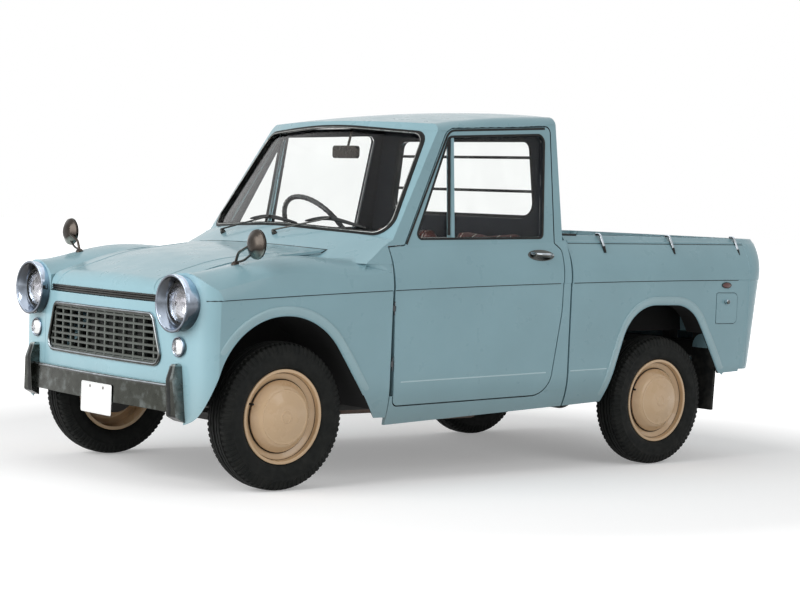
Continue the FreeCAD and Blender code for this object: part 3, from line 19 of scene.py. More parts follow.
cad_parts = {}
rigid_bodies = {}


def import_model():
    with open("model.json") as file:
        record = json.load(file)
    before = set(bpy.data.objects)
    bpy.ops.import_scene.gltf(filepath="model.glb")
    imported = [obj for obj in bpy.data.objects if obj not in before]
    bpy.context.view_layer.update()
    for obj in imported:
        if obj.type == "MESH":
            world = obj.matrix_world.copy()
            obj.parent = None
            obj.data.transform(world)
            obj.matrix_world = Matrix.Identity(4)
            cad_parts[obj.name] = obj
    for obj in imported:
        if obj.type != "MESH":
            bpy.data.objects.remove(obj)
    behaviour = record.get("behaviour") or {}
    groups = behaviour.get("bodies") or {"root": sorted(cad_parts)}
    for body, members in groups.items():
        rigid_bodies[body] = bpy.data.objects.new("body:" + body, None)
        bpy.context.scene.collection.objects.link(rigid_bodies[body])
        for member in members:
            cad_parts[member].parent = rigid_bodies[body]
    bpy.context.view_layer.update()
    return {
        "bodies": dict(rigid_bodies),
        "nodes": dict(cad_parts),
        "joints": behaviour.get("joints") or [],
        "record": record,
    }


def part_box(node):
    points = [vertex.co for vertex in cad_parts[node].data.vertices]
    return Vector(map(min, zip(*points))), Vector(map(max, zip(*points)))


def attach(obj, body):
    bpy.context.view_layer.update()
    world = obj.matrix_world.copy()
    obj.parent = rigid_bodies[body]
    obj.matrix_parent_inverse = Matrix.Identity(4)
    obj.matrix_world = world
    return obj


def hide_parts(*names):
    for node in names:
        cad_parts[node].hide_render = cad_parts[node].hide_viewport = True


LOG = logging.getLogger("pickup")
Colour = tuple[float, float, float]
Point = tuple[float, float, float]
Profile = Sequence[tuple[float, float]]
FRONT_AXLE_Y = -1.075
REAR_AXLE_Y = 0.865
AXLE_Z = 0.267


class Body(Enum):
    """The moving bodies that a piece can ride on."""

    SHELL = "root"
    LEFT_DOOR = "left_door"
    RIGHT_DOOR = "right_door"
    BONNET = "bonnet"
    TAILGATE = "tailgate"
    FUEL_FLAP = "fuel_flap"
    STEERING_WHEEL = "steering_wheel"
    FRONT_LEFT_WHEEL = "front_left_wheel"
    FRONT_RIGHT_WHEEL = "front_right_wheel"
    REAR_LEFT_WHEEL = "rear_left_wheel"
    REAR_RIGHT_WHEEL = "rear_right_wheel"


class Slot(Enum):
    """The record's repaintable finishes."""

    BODY = "body_paint"
    BRIGHT = "bright_metal"
    RUBBER = "black_rubber"
    DARK_METAL = "dark_metal"
    IRON = "engine_iron"
    WHEEL = "wheel_paint"
    TYRE = "tyre_rubber"
    SEAT = "seat_vinyl"
    TRIM = "dark_trim"
    RED = "red_lens"


class Side(Enum):
    """Which side of the vehicle; the value is the sign of X."""

    LEFT = 1
    RIGHT = -1


# ---- Finishes -----------------------------------------------------------------------------------
class NodeSheet:
    """A material's node tree, with short methods for the nodes that the finishes share."""

    def __init__(self, name: str) -> None:
        """Starts an empty material with one shader."""
        self.material = bpy.data.materials.new(f"{name}_finish")
        self.material.use_nodes = True
        self.tree = self.material.node_tree
        self.shader = self.tree.nodes["Principled BSDF"]
        coordinates = self.tree.nodes.new("ShaderNodeTexCoord")
        self.place = coordinates.outputs["Object"]
        self.normal = coordinates.outputs["Normal"]

    def constants(self, **values: float | tuple[float, ...]) -> None:
        """Sets the shader's own sockets; an underscore in a name stands for a space."""
        for name, value in values.items():
            self.shader.inputs[name.replace("_", " ")].default_value = value

    def stretched(self, scale: Point) -> bpy.types.NodeSocket:
        """Object coordinates scaled by a different number along each axis."""
        node = self.tree.nodes.new("ShaderNodeMapping")
        node.inputs["Scale"].default_value = scale
        self.tree.links.new(self.place, node.inputs["Vector"])
        return node.outputs["Vector"]

    def noise(self, scale: float, detail: float = 4.0,
              place: bpy.types.NodeSocket | None = None) -> bpy.types.NodeSocket:
        """Soft cloudy noise; the scale is in blotches a metre."""
        node = self.tree.nodes.new("ShaderNodeTexNoise")
        node.inputs["Scale"].default_value = scale
        node.inputs["Detail"].default_value = detail
        self.tree.links.new(place or self.place, node.inputs["Vector"])
        return node.outputs["Fac"]

    def cells(self, scale: float) -> bpy.types.NodeSocket:
        """Distance to the nearest of many scattered points, for grain and specks."""
        node = self.tree.nodes.new("ShaderNodeTexVoronoi")
        node.inputs["Scale"].default_value = scale
        self.tree.links.new(self.place, node.inputs["Vector"])
        return node.outputs["Distance"]

    def wave(self, scale: float, axis: str) -> bpy.types.NodeSocket:
        """Even ribs across one axis; the scale is about a sixth of the ribs a metre."""
        node = self.tree.nodes.new("ShaderNodeTexWave")
        node.wave_type = "BANDS"
        node.bands_direction = axis
        node.inputs["Scale"].default_value = scale
        self.tree.links.new(self.place, node.inputs["Vector"])
        return node.outputs["Fac"]

    def ramp(self, value: bpy.types.NodeSocket, stops: Sequence[tuple[float, Colour]]) -> bpy.types.NodeSocket:
        """Colours read off a value.

        Args:
            value: the socket that is read.
            stops: places from 0 to 1 with their colours.

        Returns:
            The colour socket.
        """
        node = self.tree.nodes.new("ShaderNodeValToRGB")
        elements = node.color_ramp.elements
        while len(elements) < len(stops):
            elements.new(0.5)
        for element, (place, colour) in zip(elements, stops):
            element.position = place
            element.color = (*colour, 1.0)
        self.tree.links.new(value, node.inputs["Fac"])
        return node.outputs["Color"]

    def level(self, value: bpy.types.NodeSocket, low: float, high: float,
              start: float = 0.3, end: float = 0.7) -> bpy.types.NodeSocket:
        """A value spread between two levels, held flat outside start and end."""
        node = self.tree.nodes.new("ShaderNodeMapRange")
        for name, number in (("From Min", start), ("From Max", end), ("To Min", low), ("To Max", high)):
            node.inputs[name].default_value = number
        self.tree.links.new(value, node.inputs["Value"])
        return node.outputs["Result"]

    def blended(self, share: bpy.types.NodeSocket, first: bpy.types.NodeSocket | Colour,
                second: bpy.types.NodeSocket | Colour) -> bpy.types.NodeSocket:
        """Two colours mixed by a share; each is a socket or a plain colour."""
        node = self.tree.nodes.new("ShaderNodeMix")
        node.data_type = "RGBA"
        self.tree.links.new(share, node.inputs["Factor"])
        for name, colour in (("A", first), ("B", second)):
            socket = [s for s in node.inputs if s.name == name and s.type == "RGBA"][0]
            if isinstance(colour, tuple):
                socket.default_value = (*colour, 1.0)
            else:
                self.tree.links.new(colour, socket)
        return [s for s in node.outputs if s.type == "RGBA"][0]

    def part(self, axis: str, vector: bpy.types.NodeSocket | None = None) -> bpy.types.NodeSocket:
        """One of a vector's numbers; of the place at rest, in metres, if no vector is given."""
        node = self.tree.nodes.new("ShaderNodeSeparateXYZ")
        self.tree.links.new(vector or self.place, node.inputs["Vector"])
        return node.outputs[axis]

    def sum_of(self, operation: str, first: bpy.types.NodeSocket | float,
               second: bpy.types.NodeSocket | float = 0.0) -> bpy.types.NodeSocket:
        """One step of arithmetic on sockets or plain numbers."""
        node = self.tree.nodes.new("ShaderNodeMath")
        node.operation = operation
        for socket, value in zip(node.inputs, (first, second)):
            if isinstance(value, (int, float)):
                socket.default_value = value
            else:
                self.tree.links.new(value, socket)
        return node.outputs[0]

    def product(self, *values: bpy.types.NodeSocket) -> bpy.types.NodeSocket:
        """Several shares multiplied together."""
        result = values[0]
        for value in values[1:]:
            result = self.sum_of("MULTIPLY", result, value)
        return result

    def facing(self, target: Point, flat: bool = False) -> bpy.types.NodeSocket:
        """How squarely the surface faces a point, from -1 to 1; flat leaves X out."""
        away = self.tree.nodes.new("ShaderNodeVectorMath")
        away.operation = "SUBTRACT"
        away.inputs[0].default_value = target
        self.tree.links.new(self.place, away.inputs[1])
        way = away.outputs["Vector"]
        if flat:
            level = self.tree.nodes.new("ShaderNodeVectorMath")
            level.operation = "MULTIPLY"
            level.inputs[1].default_value = (0.0, 1.0, 1.0)
            self.tree.links.new(way, level.inputs[0])
            way = level.outputs["Vector"]
        unit = self.tree.nodes.new("ShaderNodeVectorMath")
        unit.operation = "NORMALIZE"
        self.tree.links.new(way, unit.inputs[0])
        dot = self.tree.nodes.new("ShaderNodeVectorMath")
        dot.operation = "DOT_PRODUCT"
        self.tree.links.new(unit.outputs["Vector"], dot.inputs[0])
        self.tree.links.new(self.normal, dot.inputs[1])
        return dot.outputs["Value"]

    def reach(self, target: Point) -> bpy.types.NodeSocket:
        """Distance from a line along X through a point."""
        along = self.sum_of("POWER", self.sum_of("SUBTRACT", self.part("Y"), target[1]), 2.0)
        up = self.sum_of("POWER", self.sum_of("SUBTRACT", self.part("Z"), target[2]), 2.0)
        return self.sum_of("SQRT", self.sum_of("ADD", along, up))

    def relief(self, *layers: tuple[bpy.types.NodeSocket, float]) -> None:
        """Stacks bump layers; each is a height socket and its depth in metres."""
        below = None
        for value, depth in layers:
            node = self.tree.nodes.new("ShaderNodeBump")
            node.inputs["Strength"].default_value = 1.0
            node.inputs["Distance"].default_value = depth
            self.tree.links.new(value, node.inputs["Height"])
            if below is not None:
                self.tree.links.new(below, node.inputs["Normal"])
            below = node.outputs["Normal"]
        self.tree.links.new(below, self.shader.inputs["Normal"])

    def feed(self, name: str, value: bpy.types.NodeSocket) -> None:
        """Links a value to one of the shader's sockets."""
        self.tree.links.new(value, self.shader.inputs[name])


def shade(colour: Colour, factor: float) -> Colour:
    """A colour made lighter or darker by a factor."""
    return tuple(min(1.0, channel * factor) for channel in colour)


@dataclass(frozen=True)
class Finish:
    """A finish with a name; each kind makes its own material, once."""

    name: str
    colour: Colour

    def material(self) -> bpy.types.Material:
        """The material, made when it is first asked for."""
        return bpy.data.materials.get(f"{self.name}_finish") or self.made()

    def made(self) -> bpy.types.Material:
        """Builds the material; each kind of finish has its own."""
        raise NotImplementedError


@dataclass(frozen=True)
class Enamel(Finish):
    """Stove enamel that has gone a little chalky, with fine dust specks and another tint low down."""

    roughness: float = 0.3
    coat: float = 0.5
    specks: float = 0.5
    foot_tint: Colour = (0.16, 0.15, 0.12)
    shine: float = 0.25

    def made(self) -> bpy.types.Material:
        """Clouded colour, specks, a foot in another tint, orange peel and slow panel waves."""
        sheet = NodeSheet(self.name)
        cloud = sheet.noise(3.2, 6.0)
        base = sheet.ramp(cloud, [(0.3, shade(self.colour, 0.95)), (0.7, shade(self.colour, 1.05))])
        dots = sheet.level(sheet.cells(95.0), self.specks, 0.0, 0.02, 0.06)
        scattered = sheet.level(sheet.noise(9.0, 2.0), 0.0, 0.25, 0.5, 0.72)
        speckled = sheet.blended(dots, base, sheet.blended(scattered, base, shade(self.colour, 0.8)))
        # Towards the bottom the colour is mixed with the foot tint; on the body and wheel paint that makes it darker.
        low = sheet.level(sheet.part("Z"), 0.32, 0.0, 0.2, 0.42)
        sheet.feed("Roughness", sheet.level(sheet.noise(14.0), self.roughness - 0.05, self.roughness + 0.09))
        sheet.relief((sheet.noise(5.0, 2.0), 0.0012), (sheet.noise(420.0, 2.0), 0.00005))
        sheet.constants(Coat_Weight=self.coat, Coat_Roughness=0.07, IOR=1.5, Specular_IOR_Level=self.shine)
        sheet.feed("Base Color", self.hidden_side(sheet, sheet.blended(low, speckled, self.foot_tint)))
        return sheet.material

    def hidden_side(self, sheet: NodeSheet, colour: bpy.types.NodeSocket) -> bpy.types.NodeSocket:
        """The colour unchanged; a pressing with painted shade on its inner or lower faces covers part of it."""
        return colour


@dataclass(frozen=True)
class PanelEnamel(Enamel):
    """Body enamel on the outside of a pressing, painted shade on the faces towards the cab, and black below and round
    the wheels for underseal and painted shade.
    """

    # Painted shade: a near-black colour on the faces inside the cab; black underseal and painted shade on the faces
    # below and round the wheels.
    painted_cab_shade: Colour = (0.010, 0.013, 0.018)
    underseal_and_painted_shade: Colour = (0.004, 0.004, 0.004)
    cab_middle: Point = (0.0, -0.2, 0.9)
    axles: tuple[Point, Point] = ((0.0, FRONT_AXLE_Y, AXLE_Z), (0.0, REAR_AXLE_Y, AXLE_Z))
    arch_reach: float = 0.375

    def hidden_side(self, sheet: NodeSheet, colour: bpy.types.NodeSocket) -> bpy.types.NodeSocket:
        """Paints shade over the faces that turn to the cab, and black underseal with painted shade over those that turn
        to a wheel or to the ground, and takes their shine away.
        """
        y, z = sheet.part("Y"), sheet.part("Z")
        across = sheet.sum_of("ABSOLUTE", sheet.part("X"))
        inside = sheet.product(sheet.level(sheet.facing(self.cab_middle), 0.0, 1.0, 0.04, 0.12),
                               sheet.level(y, 0.0, 1.0, -0.73, -0.70), sheet.level(y, 1.0, 0.0, 0.285, 0.295),
                               sheet.level(across, 1.0, 0.0, 0.612, 0.618), sheet.level(z, 0.0, 1.0, 0.30, 0.33))
        underseal_and_shade_share = sheet.product(sheet.level(sheet.part("Z", sheet.normal), 1.0, 0.0, -0.7, -0.5),
                               sheet.level(z, 1.0, 0.0, 0.6, 0.62))
        for axle in self.axles:
            towards = sheet.facing(axle, flat=True)
            near = sheet.product(sheet.level(sheet.reach(axle), 1.0, 0.0, self.arch_reach, self.arch_reach + 0.006),
                                 sheet.level(across, 1.0, 0.0, 0.606, 0.614),
                                 sheet.level(towards, 0.0, 1.0, -0.35, -0.25))
            turned = sheet.product(sheet.level(towards, 0.0, 1.0, 0.35, 0.55),
                                   sheet.level(sheet.reach(axle), 1.0, 0.0, 0.43, 0.45))
            underseal_and_shade_share = sheet.sum_of("MAXIMUM", underseal_and_shade_share, sheet.sum_of("MAXIMUM", near, turned))
        return self.dulled(sheet, sheet.blended(underseal_and_shade_share, sheet.blended(inside, colour, self.painted_cab_shade), self.underseal_and_painted_shade),
                           sheet.sum_of("MAXIMUM", inside, underseal_and_shade_share))

    def dulled(self, sheet: NodeSheet, colour: bpy.types.NodeSocket,
               share: bpy.types.NodeSocket) -> bpy.types.NodeSocket:
        """Takes coat and polish off the covered share, and hands the colour on."""
        sheet.feed("Coat Weight", sheet.level(share, self.coat, 0.0, 0.0, 1.0))
        polish = sheet.level(sheet.noise(14.0), self.roughness - 0.05, self.roughness + 0.09)
        sheet.feed("Roughness", sheet.sum_of("MAXIMUM", polish, sheet.level(share, 0.0, 0.85, 0.0, 1.0)))
        return colour


@dataclass(frozen=True)
class TubEnamel(PanelEnamel):
    """Bed enamel inside the tub; black underseal and painted shade on the sides that turn away from the load."""

    def hidden_side(self, sheet: NodeSheet, colour: bpy.types.NodeSocket) -> bpy.types.NodeSocket:
        """Covers the outer and lower faces with black underseal and painted shade."""
        outward = sheet.level(sheet.product(sheet.part("X"), sheet.part("X", sheet.normal)), 0.0, 1.0, 0.05, 0.12)
        low = sheet.level(sheet.part("Z"), 1.0, 0.0, 0.90, 0.905)
        down = sheet.level(sheet.part("Z", sheet.normal), 1.0, 0.0, -0.6, -0.3)
        share = sheet.product(low, sheet.sum_of("MAXIMUM", outward, down))
        return self.dulled(sheet, sheet.blended(share, colour, self.underseal_and_painted_shade), share)


@dataclass(frozen=True)
class Metal(Finish):
    """Plated, pressed or cast metal with smears, fine pits and a change of polish."""

    roughness: float = 0.14
    metallic: float = 1.0
    stain: Colour = (0.28, 0.26, 0.23)
    stained: float = 0.35
    grain: float = 0.00003

    def made(self) -> bpy.types.Material:
        """Polish that varies in soft smears, with stained patches and pits."""
        sheet = NodeSheet(self.name)
        cloud = sheet.level(sheet.noise(11.0, 6.0), 0.0, self.stained, 0.42, 0.72)
        sheet.feed("Base Color", sheet.blended(cloud, self.colour, self.stain))
        polish = sheet.noise(38.0, 6.0, sheet.stretched((1.0, 0.35, 1.0)))
        sheet.feed("Roughness", sheet.level(polish, self.roughness * 0.7, self.roughness * 1.7))
        sheet.relief((sheet.noise(30.0, 3.0), self.grain * 8), (sheet.noise(700.0, 2.0), self.grain))
        sheet.constants(Metallic=self.metallic)
        return sheet.material


@dataclass(frozen=True)
class PlatingWithPaintedReflection(Finish):
    """Old plating with painted reflections: its colour is made bright where a face turns up to the sky and deep grey
    where it turns to the ground, in place of reflected light.
    """

    upright: Colour = (0.085, 0.088, 0.082)
    beneath: Colour = (0.13, 0.125, 0.11)
    roughness: float = 0.14
    grain: float = 0.00002

    def made(self) -> bpy.types.Material:
        """A painted reflection read from the tilt of the face and broken by soft noise, with smears and fine pits."""
        sheet = NodeSheet(self.name)
        tilt = sheet.part("Z", sheet.normal)
        wander = sheet.level(sheet.noise(26.0, 3.0), -0.10, 0.10, 0.3, 0.7)
        turned = sheet.level(sheet.sum_of("ADD", tilt, wander), 0.0, 1.0, -1.0, 1.0)
        middle = tuple((a + b) / 2 for a, b in zip(self.upright, self.colour))
        # Painted reflection: bright on faces that turn up, dark on upright faces, brownish grey on faces that turn
        # down.
        reflection_tone = sheet.ramp(turned, [(0.0, self.beneath), (0.36, shade(self.upright, 0.45)), (0.5, self.upright),
                                   (0.66, middle), (0.8, self.colour), (1.0, shade(self.colour, 1.12))])
        smear = sheet.level(sheet.noise(11.0, 6.0), 0.0, 0.35, 0.45, 0.75)
        sheet.feed("Base Color", sheet.blended(smear, reflection_tone, self.upright))
        polish = sheet.noise(38.0, 6.0, sheet.stretched((1.0, 0.35, 1.0)))
        sheet.feed("Roughness", sheet.level(polish, self.roughness * 0.7, self.roughness * 1.7))
        sheet.relief((sheet.noise(30.0, 3.0), self.grain * 8), (sheet.noise(700.0, 2.0), self.grain))
        sheet.constants(Metallic=1.0)
        return sheet.material


@dataclass(frozen=True)
class Rubber(Finish):
    """Black rubber, greyed with dust and dry along its faces."""

    roughness: float = 0.62
    dust: Colour = (0.075, 0.073, 0.066)
    dusty: float = 0.5
    grain: float = 0.00018
    shine: float = 0.18

    def made(self) -> bpy.types.Material:
        """Dust in broad clouds over a fine dry grain."""
        sheet = NodeSheet(self.name)
        cloud = sheet.level(sheet.noise(24.0, 8.0), 0.0, self.dusty, 0.42, 0.75)
        sheet.feed("Base Color", sheet.blended(cloud, self.colour, self.dust))
        sheet.feed("Roughness", sheet.level(sheet.noise(55.0), self.roughness - 0.1, self.roughness + 0.14))
        sheet.relief((sheet.noise(160.0, 3.0), self.grain), (sheet.cells(620.0), self.grain * 0.5))
        sheet.constants(IOR=1.47, Specular_IOR_Level=self.shine)
        return sheet.material


@dataclass(frozen=True)
class Glass(Finish):
    """Clear or coloured glass with faint smears; flutes are ribs across X, as on a lamp."""

    roughness: float = 0.0
    flutes: float = 0.0
    flute_depth: float = 0.0004
    bend: float = 1.45

    def made(self) -> bpy.types.Material:
        """Transmitting shader with smeared polish and slight waves."""
        sheet = NodeSheet(self.name)
        cloud = sheet.noise(7.0, 5.0)
        sheet.feed("Base Color", sheet.ramp(cloud, [(0.3, shade(self.colour, 0.97)), (0.7, self.colour)]))
        sheet.feed("Roughness", sheet.level(cloud, self.roughness, self.roughness + 0.015, 0.45, 0.8))
        layers = [(sheet.noise(3.0, 1.0), 0.00015)]
        if self.flutes:
            layers.append((sheet.wave(self.flutes, "X"), self.flute_depth))
        sheet.relief(*layers)
        sheet.constants(Transmission_Weight=1.0, IOR=self.bend)
        return sheet.material


@dataclass(frozen=True)
class Vinyl(Finish):
    """Grained vinyl or moulded trim, shinier where it is touched."""

    roughness: float = 0.4
    pebble: float = 420.0
    depth: float = 0.00016
    coat: float = 0.15

    def made(self) -> bpy.types.Material:
        """Pebbled grain under a thin shine, with fading in broad patches."""
        sheet = NodeSheet(self.name)
        cloud = sheet.noise(6.0, 5.0)
        sheet.feed("Base Color", sheet.ramp(cloud, [(0.3, shade(self.colour, 0.82)), (0.7, shade(self.colour, 1.2))]))
        sheet.feed("Roughness", sheet.level(cloud, self.roughness - 0.08, self.roughness + 0.12))
        sheet.relief((sheet.noise(22.0, 2.0), 0.0006), (sheet.cells(self.pebble), self.depth))
        sheet.constants(Coat_Weight=self.coat, Coat_Roughness=0.25, IOR=1.5, Specular_IOR_Level=0.25)
        return sheet.material


@dataclass(frozen=True)
class Woven(Finish):
    """Plain-woven cloth; the threads are ribs across both axes of the piece."""

    threads: float = 130.0
    sheen: float = 0.3

    def made(self) -> bpy.types.Material:
        """Two crossed sets of threads, fuzzed with noise."""
        sheet = NodeSheet(self.name)
        across = sheet.wave(self.threads, "X")
        along = sheet.wave(self.threads, "Y")
        cloud = sheet.noise(12.0, 5.0)
        threads = sheet.ramp(across, [(0.2, shade(self.colour, 0.75)), (0.8, shade(self.colour, 1.15))])
        sheet.feed("Base Color", sheet.blended(sheet.level(cloud, 0.0, 0.4), threads, self.colour))
        sheet.feed("Roughness", sheet.level(cloud, 0.8, 0.95))
        sheet.relief((across, 0.00015), (along, 0.00015))
        sheet.constants(Sheen_Weight=self.sheen, Sheen_Roughness=0.5)
        return sheet.material


BODY_ENAMEL = PanelEnamel("body_enamel", (0.230, 0.380, 0.428), coat=0.28)
TRIM_ENAMEL = Enamel("trim_enamel", (0.230, 0.380, 0.428), coat=0.28)
CREASE_SHADOW = Enamel("crease_shadow", (0.018, 0.028, 0.030), roughness=0.6, coat=0.0)
SWAGE_SHADOW = Enamel("swage_shadow", (0.075, 0.12, 0.135), roughness=0.5, coat=0.1)
# Painted highlight: a pale strip along the lower crease, where light catches it.
CREASE_HIGHLIGHT = Enamel("crease_highlight", (0.42, 0.58, 0.62), roughness=0.4)
# Painted highlight: a paler enamel on the raised bands round the wheel arches.
FLARE_HIGHLIGHT = Enamel("flare_highlight", (0.28, 0.425, 0.465))
DISHED_METAL = Metal("dished_metal", (0.10, 0.105, 0.10), roughness=0.25, stained=0.5, stain=(0.03, 0.03, 0.03))
BED_ENAMEL = TubEnamel("bed_enamel", (0.21, 0.335, 0.37), roughness=0.45, coat=0.15, specks=0.9)
WHEEL_ENAMEL = Enamel("wheel_enamel", (0.60, 0.415, 0.245), roughness=0.26, specks=0.3, foot_tint=(0.46, 0.33, 0.2))
CHASSIS_ENAMEL = Enamel("chassis_enamel", (0.018, 0.019, 0.018), roughness=0.5, coat=0.1, foot_tint=(0.05, 0.045, 0.04))
PLATE_ENAMEL = Enamel("plate_enamel", (0.66, 0.67, 0.66), roughness=0.34, specks=0.1, foot_tint=(0.72, 0.73, 0.72))
PANEL_ENAMEL = Enamel("panel_enamel", (0.03, 0.036, 0.042), roughness=0.35)
# Painted reflections: these plated finishes are bright where a face turns up and dark where it turns down, standing in
# for reflected sky and ground.
CHROME = PlatingWithPaintedReflection("chrome", (0.60, 0.66, 0.72), roughness=0.12)
HOOD_PLATING = PlatingWithPaintedReflection("hood_plating", (0.52, 0.60, 0.72), upright=(0.16, 0.18, 0.21), beneath=(0.05, 0.042, 0.036),
                      roughness=0.11)
BOWL_PLATING = PlatingWithPaintedReflection("bowl_plating", (0.74, 0.75, 0.82), upright=(0.34, 0.33, 0.36), beneath=(0.07, 0.055, 0.045),
                      roughness=0.10)
BUMPER_METAL = PlatingWithPaintedReflection("bumper_metal", (0.42, 0.47, 0.47), upright=(0.036, 0.038, 0.032), beneath=(0.03, 0.03, 0.027),
                      roughness=0.2)
DULL_CHROME = Metal("dull_chrome", (0.30, 0.31, 0.30), roughness=0.22, stained=0.5, stain=(0.14, 0.14, 0.12))
WIPER_METAL = Metal("wiper_metal", (0.018, 0.020, 0.020), roughness=0.3, metallic=0.6, stained=0.3,
                    stain=(0.01, 0.01, 0.01))
DARK_CHROME = Metal("dark_chrome", (0.05, 0.05, 0.047), roughness=0.2, stained=0.4, stain=(0.02, 0.02, 0.019))
MIRROR = Metal("mirror_silver", (0.82, 0.84, 0.85), roughness=0.03, stained=0.1, grain=0.000004)
# The mirror back's pale green underside is a painted reflection.
MIRROR_BACK = PlatingWithPaintedReflection("mirror_back", (0.060, 0.052, 0.045), upright=(0.045, 0.038, 0.033), beneath=(0.42, 0.50, 0.46),
                     roughness=0.24)
GRILLE_METAL = Metal("grille_metal", (0.085, 0.095, 0.085), roughness=0.32, metallic=0.6, stain=(0.045, 0.045, 0.04))
STEEL = Metal("bare_steel", (0.22, 0.21, 0.2), roughness=0.42, metallic=0.85, stain=(0.10, 0.06, 0.04))
RUSTY = Metal("exhaust_steel", (0.16, 0.12, 0.10), roughness=0.6, metallic=0.6, stain=(0.12, 0.05, 0.03), stained=0.9)
IRON = Metal("cast_iron", (0.07, 0.075, 0.078), roughness=0.6, metallic=0.4, stain=(0.05, 0.04, 0.03), grain=0.0002)
TYRE = Rubber("tyre_rubber", (0.009, 0.010, 0.0095), dust=(0.030, 0.030, 0.027), dusty=0.35, grain=0.00010, shine=0.12)
SEAL = Rubber("seal_rubber", (0.006, 0.007, 0.007), roughness=0.45, dusty=0.2, grain=0.00008)
FLAP = Rubber("flap_rubber", (0.008, 0.009, 0.009), roughness=0.7)
CAB_GLASS = Glass("cab_glass", (0.985, 0.997, 0.99), bend=1.17)
LAMP_GLASS = Glass("lamp_glass", (0.97, 0.98, 0.98), flutes=26.0, flute_depth=0.00012)
RED_GLASS = Glass("red_lens", (0.52, 0.03, 0.02), roughness=0.08, flutes=60.0)
RED_STUD = Vinyl("red_stud", (0.085, 0.018, 0.016), roughness=0.22, coat=0.6, depth=0.00005)
SEAT_VINYL = Vinyl("seat_vinyl", (0.070, 0.016, 0.012), coat=0.1)
PIPING = Vinyl("seat_piping", (0.55, 0.54, 0.50), pebble=900.0, depth=0.00005)
TRIM_VINYL = Vinyl("trim_vinyl", (0.018, 0.02, 0.024))
HARD_TRIM = Vinyl("hard_trim", (0.012, 0.013, 0.015), roughness=0.28, coat=0.5, depth=0.00003)
DIAL = Vinyl("dial_face", (0.02, 0.02, 0.022), roughness=0.5, depth=0.00002)
HEADLINING = Woven("headlining", (0.035, 0.042, 0.052))

NODE_FINISHES: dict[str, Finish] = {
    "roof_panel": BODY_ENAMEL, "windscreen_frame": BODY_ENAMEL, "cab_back_panel": BODY_ENAMEL,
    "sills": BODY_ENAMEL, "door_left": BODY_ENAMEL, "door_right": BODY_ENAMEL,
    "front_fenders": BODY_ENAMEL, "nose_panel": BODY_ENAMEL, "bonnet": BODY_ENAMEL,
    "bed_sides": BODY_ENAMEL, "rear_panel": BODY_ENAMEL, "tailgate": BODY_ENAMEL,
    "fuel_flap": BODY_ENAMEL, "bed_tub": BED_ENAMEL,
    "cab_glass": CAB_GLASS, "door_glass_left": CAB_GLASS, "door_glass_right": CAB_GLASS,
    "window_seals": SEAL, "door_handle_left": CHROME, "door_handle_right": CHROME,
    "grille": GRILLE_METAL, "grille_surround": CHROME, "front_lamp_rims": HOOD_PLATING,
    "front_lamp_lenses": LAMP_GLASS, "front_bumper": BUMPER_METAL,
    "chassis_frame": CHASSIS_ENAMEL, "leaf_springs": CHASSIS_ENAMEL, "front_axle": CHASSIS_ENAMEL,
    "knuckle_left": CHASSIS_ENAMEL, "knuckle_right": CHASSIS_ENAMEL, "tie_rod": STEEL,
    "rear_axle": CHASSIS_ENAMEL, "engine": IRON, "radiator": CHASSIS_ENAMEL,
    "fuel_tank": CHASSIS_ENAMEL, "exhaust": RUSTY, "cab_floor": PANEL_ENAMEL,
    "seat_cushions": SEAT_VINYL, "seat_backs": SEAT_VINYL, "dashboard": HARD_TRIM,
    "steering_wheel": HARD_TRIM, "cab_controls": STEEL, "mirrors": MIRROR_BACK, "wipers": DULL_CHROME,
    "rear_window_guard": CHASSIS_ENAMEL, "rope_hooks": CHROME, "mud_flaps": FLAP, "rear_lamps": RED_GLASS,
    "front_left_wheel": WHEEL_ENAMEL, "front_right_wheel": WHEEL_ENAMEL,
    "rear_left_wheel": WHEEL_ENAMEL, "rear_right_wheel": WHEEL_ENAMEL,
    "front_left_tyre": TYRE, "front_right_tyre": TYRE, "rear_left_tyre": TYRE, "rear_right_tyre": TYRE,
}


